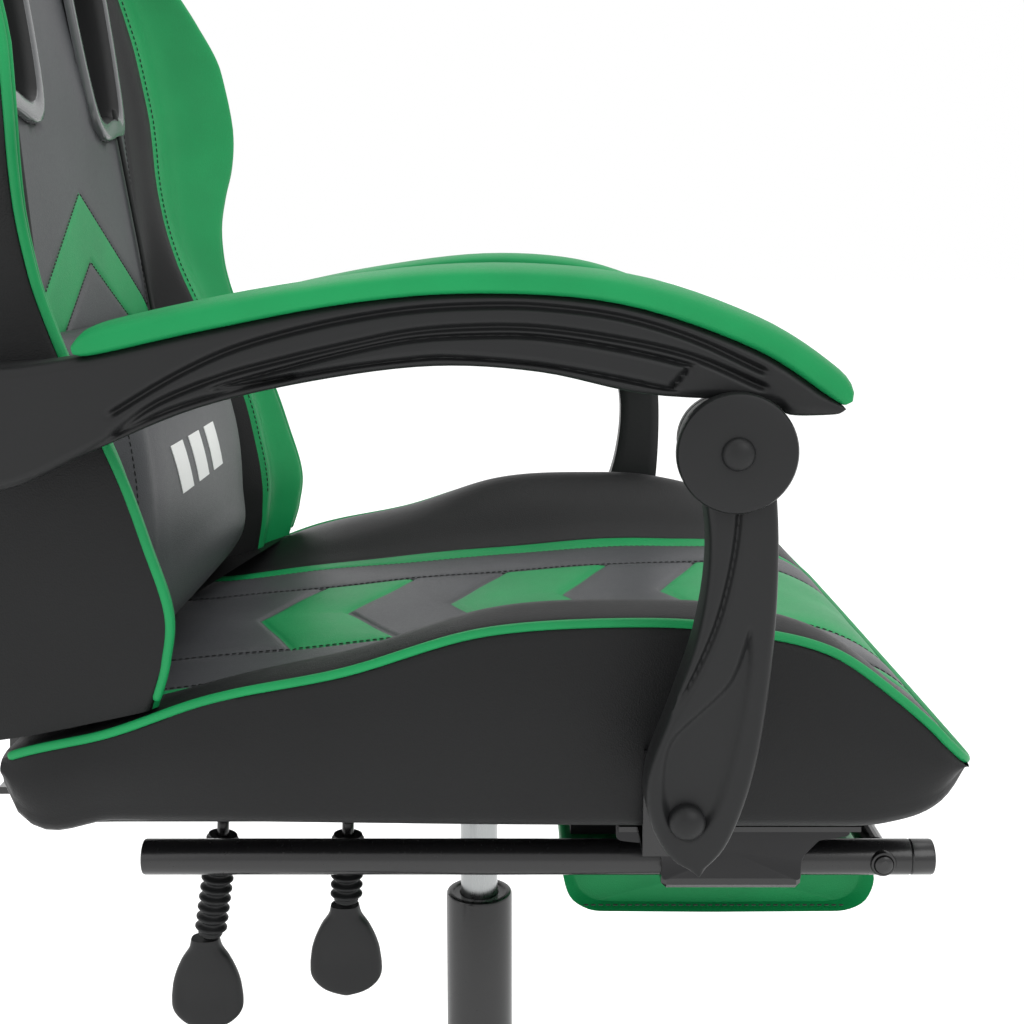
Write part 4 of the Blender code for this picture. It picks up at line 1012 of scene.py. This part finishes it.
# ---- under the seat --------------------------------------------------------------------
def build_footrest():
    """Rails, their end screws, and the flip-over pad."""
    for name, side in SIDES:
        length = RAIL_X[1] - RAIL_X[0]
        r = RAIL_R
        wall = [
            (0, 0.001), (r - 0.0016, 0.001), (r - 0.0012, 0), (r - 0.0004, 0.0004), (r, 0.0015),
            (r, length - 0.0150), (r - 0.0006, length - 0.0142), (r, length - 0.0134),
        ]
        wall += [
            (r, length - 0.0015), (r - 0.0004, length - 0.0004), (r - 0.0012, length),
            (r - 0.0018, length - 0.001), (r - 0.0018, length - 0.012), (0, length - 0.012),
        ]
        place = Matrix.Translation(
            (RAIL_X[0], side * RAIL_Y, RAIL_Z)
        ) @ Matrix.Rotation(math.pi / 2, 4, "Y")
        rail = lathe(f"rail_tube_{name}", wall, place, "footrest_rails", "powder coat", 48)
        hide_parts(f"footrest_rail_{name}")
        at = side * (RAIL_Y + RAIL_R)
        washer = [
            (0, -0.004), (0.0078, -0.004), (0.0080, 0.0002), (0.0074, 0.0012), (0.0062, 0.0014),
            (0.0060, 0.0008), (0.0054, 0.0026), (0.0040, 0.0034),
        ]
        washer += [(0.0024, 0.0036), (0.0022, 0.0018), (0, 0.0018)]
        lathe(
            f"rail_screw_{name}", washer, along_y(FOOTREST_X, at, RAIL_Z, side), "footrest_rails",
            "powder coat", 32,
        )

    outline = [
        (0.0550, 0.3690), (0.0565, 0.3480), (0.0610, 0.3310), (0.0740, 0.3228), (0.1500, 0.3222),
        (0.2360, 0.3228),
    ]
    outline += [(0.2480, 0.3285), (0.2530, 0.3400), (0.2530, 0.3500), (0.2410, 0.3560), (0.2380, 0.3690)]
    loop = fillet([outline[-1]] + outline + [outline[0]], 0.008)
    loop = even(np.vstack([loop[1:-1], loop[1:2]]), 121)[:-1]
    centre = loop.mean(0)
    half, rings = 0.185, []
    soft = 0.012
    for share in (0.0, 0.06, 0.2, 0.45, 0.75, 1.0):
        a = math.pi / 2 * share
        rings.append(
            (-half + soft * (1 - math.sin(a)) * 0.9, 1 - 0.075 * (1 - math.cos(math.pi / 2 - a) ** 0.8))
        )
    inner = [(y, 1.0) for y in np.linspace(-half + 0.02, half - 0.02, 40)]
    every = rings + inner + [(-y, s) for y, s in reversed(rings)]
    grid = []
    for y, scale in every:
        ring = centre + (loop - centre) * scale
        swell = 0.0012 * math.cos(y / half * math.pi / 2)
        away = (loop - centre) / np.linalg.norm(loop - centre, axis=1)[:, None]
        ring = ring + away * swell * 0.5
        grid.append(np.stack([ring[:, 0], np.full(len(ring), y), ring[:, 1]], 1))
    pad = skin("footrest_cover", np.array(grid), "footrest", ["green leather"])
    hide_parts("footrest_pad")
    lines = []
    for side in (-1, 1):
        lines.append(
            np.array([(px, side * (half + 0.0003), 0.3272) for px in np.linspace(0.068, 0.238, 40)])
        )
    stitches("footrest_stitching", lines, "footrest", 0.0005)


LEVERS = {
    "height": (-0.080, -0.083, 0.318, 0.256),
    "tilt": (-0.160, -0.174, 0.295, 0.232),
}
LEVER_Y, LEVER_Z = -0.165, 0.382


def build_levers():
    """Both hand levers: bent rod, bellows boot and flat paddle."""
    for kind, (x, low_x, top, bottom) in LEVERS.items():
        body, bend = f"{kind}_lever", 0.016
        route = [(x, -0.032, LEVER_Z), (x, LEVER_Y + bend, LEVER_Z)]
        for a in np.radians(np.arange(9, 91, 9)):
            route.append((x, LEVER_Y + bend - bend * math.sin(a), LEVER_Z - bend + bend * math.cos(a)))
        elbow, tip = np.array(route[-1]), np.array((low_x, LEVER_Y, top - 0.018))
        route.append(tuple(tip))
        rod = tube(f"{kind}_rod", even(route, 90), 0.0038, body, "powder coat", 20)
        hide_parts(f"{kind}_lever")
        down = (tip - elbow) / np.linalg.norm(tip - elbow)
        reach = (elbow[2] - top) / -down[2]
        ribs = max(3, round(reach / 0.0072))
        fold = [(0.0044, 0.0), (0.0092, 0.0)]
        for n in range(ribs * 10):
            share = n / (ribs * 10)
            fold.append(
                (0.0088 + 0.0016 * math.sin(math.tau * share * ribs), -0.001 - (reach - 0.004) * share)
            )
        fold += [(0.0072, 0.0024 - reach), (0.0044, 0.0024 - reach), (0.0044, 0.0)]
        turn = Vector(-down).to_track_quat("Z", "Y").to_matrix().to_4x4()
        boot = lathe(
            f"{kind}_bellows", fold, Matrix.Translation(elbow) @ turn, body, "moulded plastic", 32,
            80,
        )
        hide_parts(f"{kind}_boot")
        widths = (
            (0.0, 0.0090), (0.10, 0.0106), (0.22, 0.0156), (0.45, 0.0215), (0.70, 0.0234),
            (0.86, 0.0198), (0.96, 0.0108), (1.0, 0.0030),
        )
        tall = top - bottom
        share = 1 - np.cos(np.linspace(0, math.pi / 2, 40))
        share = np.unique(np.r_[share[share < 0.5], 1 - (1 - np.linspace(0.5, 1, 26)) ** 1.4])
        angle = np.radians(np.linspace(0, 360, 36, endpoint=False))
        rings = []
        for s in share:
            wide = eased(widths, [s])[0, 0]
            thick = 0.0074 * min(1.0, (0.16 + s) ** 0.15) * min(
                1.0, ((1.02 - s) / 0.10),
            ) ** 0.5 if s > 0.92 else 0.0074
            cx = np.sign(np.cos(angle)) * np.abs(np.cos(angle)) ** 0.85
            cy = np.sign(np.sin(angle)) * np.abs(np.sin(angle)) ** 0.70
            dish = 0.0012 * np.exp(-((s - 0.62) / 0.2) ** 2) * np.sign(cy) * (np.abs(cx) < 0.7)
            rings.append(
                np.stack([low_x + wide * cx, LEVER_Y + thick * cy - dish, np.full(36, top - tall * s)], 1)
            )
        paddle = skin(f"{kind}_grip", np.array(rings), body, ["moulded plastic"])
        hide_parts(f"{kind}_paddle")


def build_lift():
    """Gas cylinder and column sleeve, turned fine enough to show no flats."""
    chrome = [
        (0, 0.175), (0.0138, 0.175), (0.0140, 0.177), (0.0140, 0.325), (0.0130, 0.350),
        (0.0125, 0.380), (0, 0.380),
    ]
    shaft = lathe("lift_shaft", chrome, Matrix(), "seat", "ground steel", 64)
    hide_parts("gas_cylinder")
    r, high = 0.025, 0.342
    sleeve = [
        (0.0070, 0.0682), (r - 0.001, 0.0682), (r, 0.0695), (r, high - 0.0022),
        (r - 0.0007, high - 0.0007), (r - 0.0022, high),
    ]
    sleeve += [
        (r - 0.0050, high - 0.0002), (r - 0.0056, high - 0.0012), (0.0148, high - 0.0014),
        (0.0148, 0.270), (0.0225, 0.269), (0.0225, 0.075), (0.0070, 0.075), (0.0070, 0.0682),
    ]
    place = Matrix.Translation((0, 0, -SEAT_RISE))
    tube_piece = lathe("column_sleeve", sleeve, place, "base", "powder coat", 72)
    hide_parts("column_tube", "column_bushing")


def build_casters():
    """Twin wheels with hub caps on each caster."""
    for number in range(1, 6):
        a = math.pi / 2 + (number - 1) * math.tau / 5
        yaw = math.radians(CASTER_YAWS[number - 1])
        place = Matrix.Translation(
            (STEM_RADIUS * math.cos(a), STEM_RADIUS * math.sin(a), 0)
        ) @ Matrix.Rotation(yaw, 4, "Z")
        place = place @ Matrix.Translation(
            (TRAIL, 0, WHEEL_R - SEAT_RISE)
        ) @ Matrix.Rotation(math.pi / 2, 4, "X")
        r = WHEEL_R
        side = [
            (0, 0.0215), (0.0060, 0.0215), (0.0075, 0.0200), (0.0150, 0.0200), (0.0175, 0.0215),
            (0.0200, 0.0245), (0.0225, 0.0250), (r - 0.0030, 0.0250),
        ]
        side += [
            (r - 0.0008, 0.0240), (r, 0.0215), (r, 0.0095), (r - 0.0006, 0.0072),
            (r - 0.0025, 0.0062), (0.0040, 0.0062),
        ]
        profile = side + [(radius, -height) for radius, height in reversed(side)]
        wheels = lathe(
            f"twin_wheels_{number}", profile, place, f"caster_wheel_{number}", "caster tread", 56,
        )
        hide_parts(f"caster_wheels_{number}")


def dress_cad(finish_by_slot):
    """Gives each CAD node that still shows its own node-based finish."""
    slots = {part["node"]: part["material_slot"] for part in frame["record"]["subparts"]}
    for node, part in frame["nodes"].items():
        if part.hide_render:
            continue
        part.data.materials.clear()
        part.data.materials.append(bpy.data.materials[finish_by_slot[slots[node]]])
        part.data.polygons.foreach_set("material_index", np.zeros(len(part.data.polygons), np.int32))


# ---- studio ----------------------------------------------------------------------------
def build_stage():
    """Pale floor, soft lights and the camera."""
    mesh = bpy.data.meshes.new("studio_floor")
    corners = [(-30, -30, 0), (30, -30, 0), (30, 30, 0), (-30, 30, 0)]
    mesh.from_pydata(corners, [], [(0, 1, 2, 3)])
    mesh.materials.append(bpy.data.materials["studio floor"])
    floor = bpy.data.objects.new("studio_floor", mesh)
    bpy.context.scene.collection.objects.link(floor)

    for name, place, target, size, power in (
        ("key", (1.9, -2.6, 2.8), (0, 0, 0.6), 2.2, 34),
        ("fill", (-2.7, -2.0, 1.7), (0, 0, 0.6), 2.6, 14),
        ("overhead", (0.2, 0.4, 3.4), (0, 0, 0.6), 2.8, 32),
        ("rim", (-1.4, 2.4, 2.1), (0, 0, 0.8), 1.8, 14),
    ):
        light = bpy.data.lights.new(name, "AREA")
        light.energy, light.size = power, size
        lamp = bpy.data.objects.new(name, light)
        lamp.location = place
        lamp.rotation_euler = (Vector(target) - Vector(place)).to_track_quat("-Z", "Y").to_euler()
        bpy.context.scene.collection.objects.link(lamp)

    world = bpy.data.worlds.new("studio")
    world.use_nodes = True
    world.node_tree.nodes["Background"].inputs["Color"].default_value = (1, 1, 1, 1)
    world.node_tree.nodes["Background"].inputs["Strength"].default_value = 1.0
    bpy.context.scene.world = world
    bpy.context.scene.view_settings.view_transform = "Standard"

    lens = bpy.data.cameras.new("camera")
    lens.sensor_width, lens.lens = 36.0, 52.03
    eye = bpy.data.objects.new("camera", lens)
    eye.location = (COLUMN_X + 0.025, -1.06, 0.74 + SEAT_RISE)
    eye.rotation_euler = (math.radians(90 - 10.4), 0, 0)
    bpy.context.scene.collection.objects.link(eye)
    bpy.context.scene.camera = eye


# ---- properties, operators and panel ---------------------------------------------------
class ChairSizes(bpy.types.PropertyGroup):
    """Sizes of the sewing and trims."""

    piping_radius: FloatProperty(
        name="Piping radius", description="Radius of the cord sewn into the cover's edges",
        default=0.0027, min=0.001, max=0.006, unit="LENGTH", precision=4,
    )
    seam_depth: FloatProperty(
        name="Seam depth", description="How far a sewn seam pulls the cover in", default=0.0018,
        min=0.0, max=0.006, unit="LENGTH", precision=4,
    )
    stitch_pitch: FloatProperty(
        name="Stitch pitch", description="From one stitch to the next", default=0.0046, min=0.002,
        max=0.02, unit="LENGTH", precision=4,
    )
    stitch_length: FloatProperty(
        name="Stitch length", description="Length of the thread that shows", default=0.0031,
        min=0.001, max=0.015, unit="LENGTH", precision=4,
    )


class ChairColours(bpy.types.PropertyGroup):
    """Colours of the covers and mouldings."""

    green: FloatVectorProperty(
        name="Green", description="Colour of the green panels, piping and pads",
        default=(0.007, 0.235, 0.070), subtype="COLOR", size=3, min=0, max=1,
    )
    black: FloatVectorProperty(
        name="Black", description="Colour of the bolsters and the sides",
        default=(0.0062, 0.0065, 0.0068), subtype="COLOR", size=3, min=0, max=1,
    )
    grey: FloatVectorProperty(
        name="Grey", description="Colour of the middle panels and the lumbar cushion",
        default=(0.052, 0.054, 0.058), subtype="COLOR", size=3, min=0, max=1,
    )
    thread: FloatVectorProperty(
        name="Thread", description="Colour of the stitching", default=(0.008, 0.009, 0.009),
        subtype="COLOR", size=3, min=0, max=1,
    )
    plastic: FloatVectorProperty(
        name="Plastic", description="Colour of the moulded plastic",
        default=(0.0080, 0.0084, 0.0088), subtype="COLOR", size=3, min=0, max=1,
    )


class CHAIR_OT_finishes(bpy.types.Operator):
    """Makes the finishes"""

    bl_idname = "chair.finishes"
    bl_label = "Finishes"

    def execute(self, context):
        make_finishes()
        return {"FINISHED"}


class CHAIR_OT_seat(bpy.types.Operator):
    """Sews the seat cover, its piping and its stitching"""

    bl_idname = "chair.seat"
    bl_label = "Seat cover"

    def execute(self, context):
        build_seat()
        return {"FINISHED"}


class CHAIR_OT_backrest(bpy.types.Operator):
    """Sews the backrest cover, its piping, stitching and strap bezels"""

    bl_idname = "chair.backrest"
    bl_label = "Backrest cover"

    def execute(self, context):
        build_back()
        return {"FINISHED"}


class CHAIR_OT_loose_cushions(bpy.types.Operator):
    """Makes the lumbar cushion with its printed bars, and the head cushion"""

    bl_idname = "chair.loose_cushions"
    bl_label = "Lumbar and head cushions"

    def execute(self, context):
        build_loose_cushions()
        return {"FINISHED"}


class CHAIR_OT_armrests(bpy.types.Operator):
    """Moulds the armrests and their soft pads"""

    bl_idname = "chair.armrests"
    bl_label = "Armrests"

    def execute(self, context):
        build_arms()
        return {"FINISHED"}


class CHAIR_OT_supports(bpy.types.Operator):
    """Moulds the arm supports, pivot discs and bolt caps, and the plates over the rail sleeves"""

    bl_idname = "chair.supports"
    bl_label = "Arm supports"

    def execute(self, context):
        build_supports()
        build_skirts()
        return {"FINISHED"}


class CHAIR_OT_footrest(bpy.types.Operator):
    """Makes the rails, end screws and flip-over pad"""

    bl_idname = "chair.footrest"
    bl_label = "Footrest"

    def execute(self, context):
        build_footrest()
        return {"FINISHED"}


class CHAIR_OT_levers(bpy.types.Operator):
    """Makes both levers with their boots and paddles"""

    bl_idname = "chair.levers"
    bl_label = "Hand levers"

    def execute(self, context):
        build_levers()
        return {"FINISHED"}


class CHAIR_OT_lift(bpy.types.Operator):
    """Turns the gas cylinder and the column sleeve"""

    bl_idname = "chair.lift"
    bl_label = "Gas lift"

    def execute(self, context):
        build_lift()
        return {"FINISHED"}


class CHAIR_OT_casters(bpy.types.Operator):
    """Turns the five pairs of wheels"""

    bl_idname = "chair.casters"
    bl_label = "Caster wheels"

    def execute(self, context):
        build_casters()
        return {"FINISHED"}


class CHAIR_OT_cad_finishes(bpy.types.Operator):
    """Gives every CAD node that still shows its finish"""

    bl_idname = "chair.cad_finishes"
    bl_label = "CAD finishes"

    def execute(self, context):
        dress_cad(FINISH_BY_SLOT)
        return {"FINISHED"}


class CHAIR_OT_stage(bpy.types.Operator):
    """Sets the floor, the lights and the camera"""

    bl_idname = "chair.stage"
    bl_label = "Studio"

    def execute(self, context):
        build_stage()
        return {"FINISHED"}


STEPS = (
    CHAIR_OT_finishes,
    CHAIR_OT_seat,
    CHAIR_OT_backrest,
    CHAIR_OT_loose_cushions,
    CHAIR_OT_armrests,
    CHAIR_OT_supports,
    CHAIR_OT_footrest,
    CHAIR_OT_levers,
    CHAIR_OT_lift,
    CHAIR_OT_casters,
    CHAIR_OT_cad_finishes,
    CHAIR_OT_stage,
)


class CHAIR_PT_trim(bpy.types.Panel):
    """Sizes, colours and building steps of the chair's trim"""

    bl_idname = "CHAIR_PT_trim"
    bl_label = "Gaming chair trim"
    bl_space_type = "VIEW_3D"
    bl_region_type = "UI"
    bl_category = "Chair"

    def draw(self, context):
        for group in (context.scene.chair_sizes, context.scene.chair_colours):
            box = self.layout.box()
            for name in group.bl_rna.properties.keys():
                if name not in ("rna_type", "name"):
                    box.prop(group, name)
        column = self.layout.column(align=True)
        for step in STEPS:
            column.operator(step.bl_idname)


CLASSES = (ChairSizes, ChairColours, *STEPS, CHAIR_PT_trim)


def register():
    for made in CLASSES:
        bpy.utils.register_class(made)
    bpy.types.Scene.chair_sizes = PointerProperty(type=ChairSizes)
    bpy.types.Scene.chair_colours = PointerProperty(type=ChairColours)


def unregister():
    del bpy.types.Scene.chair_colours
    del bpy.types.Scene.chair_sizes
    for made in reversed(CLASSES):
        bpy.utils.unregister_class(made)


def main():
    register()
    for step in STEPS:
        group, name = step.bl_idname.split(".")
        getattr(getattr(bpy.ops, group), name)()


if __name__ == "__main__":
    main()
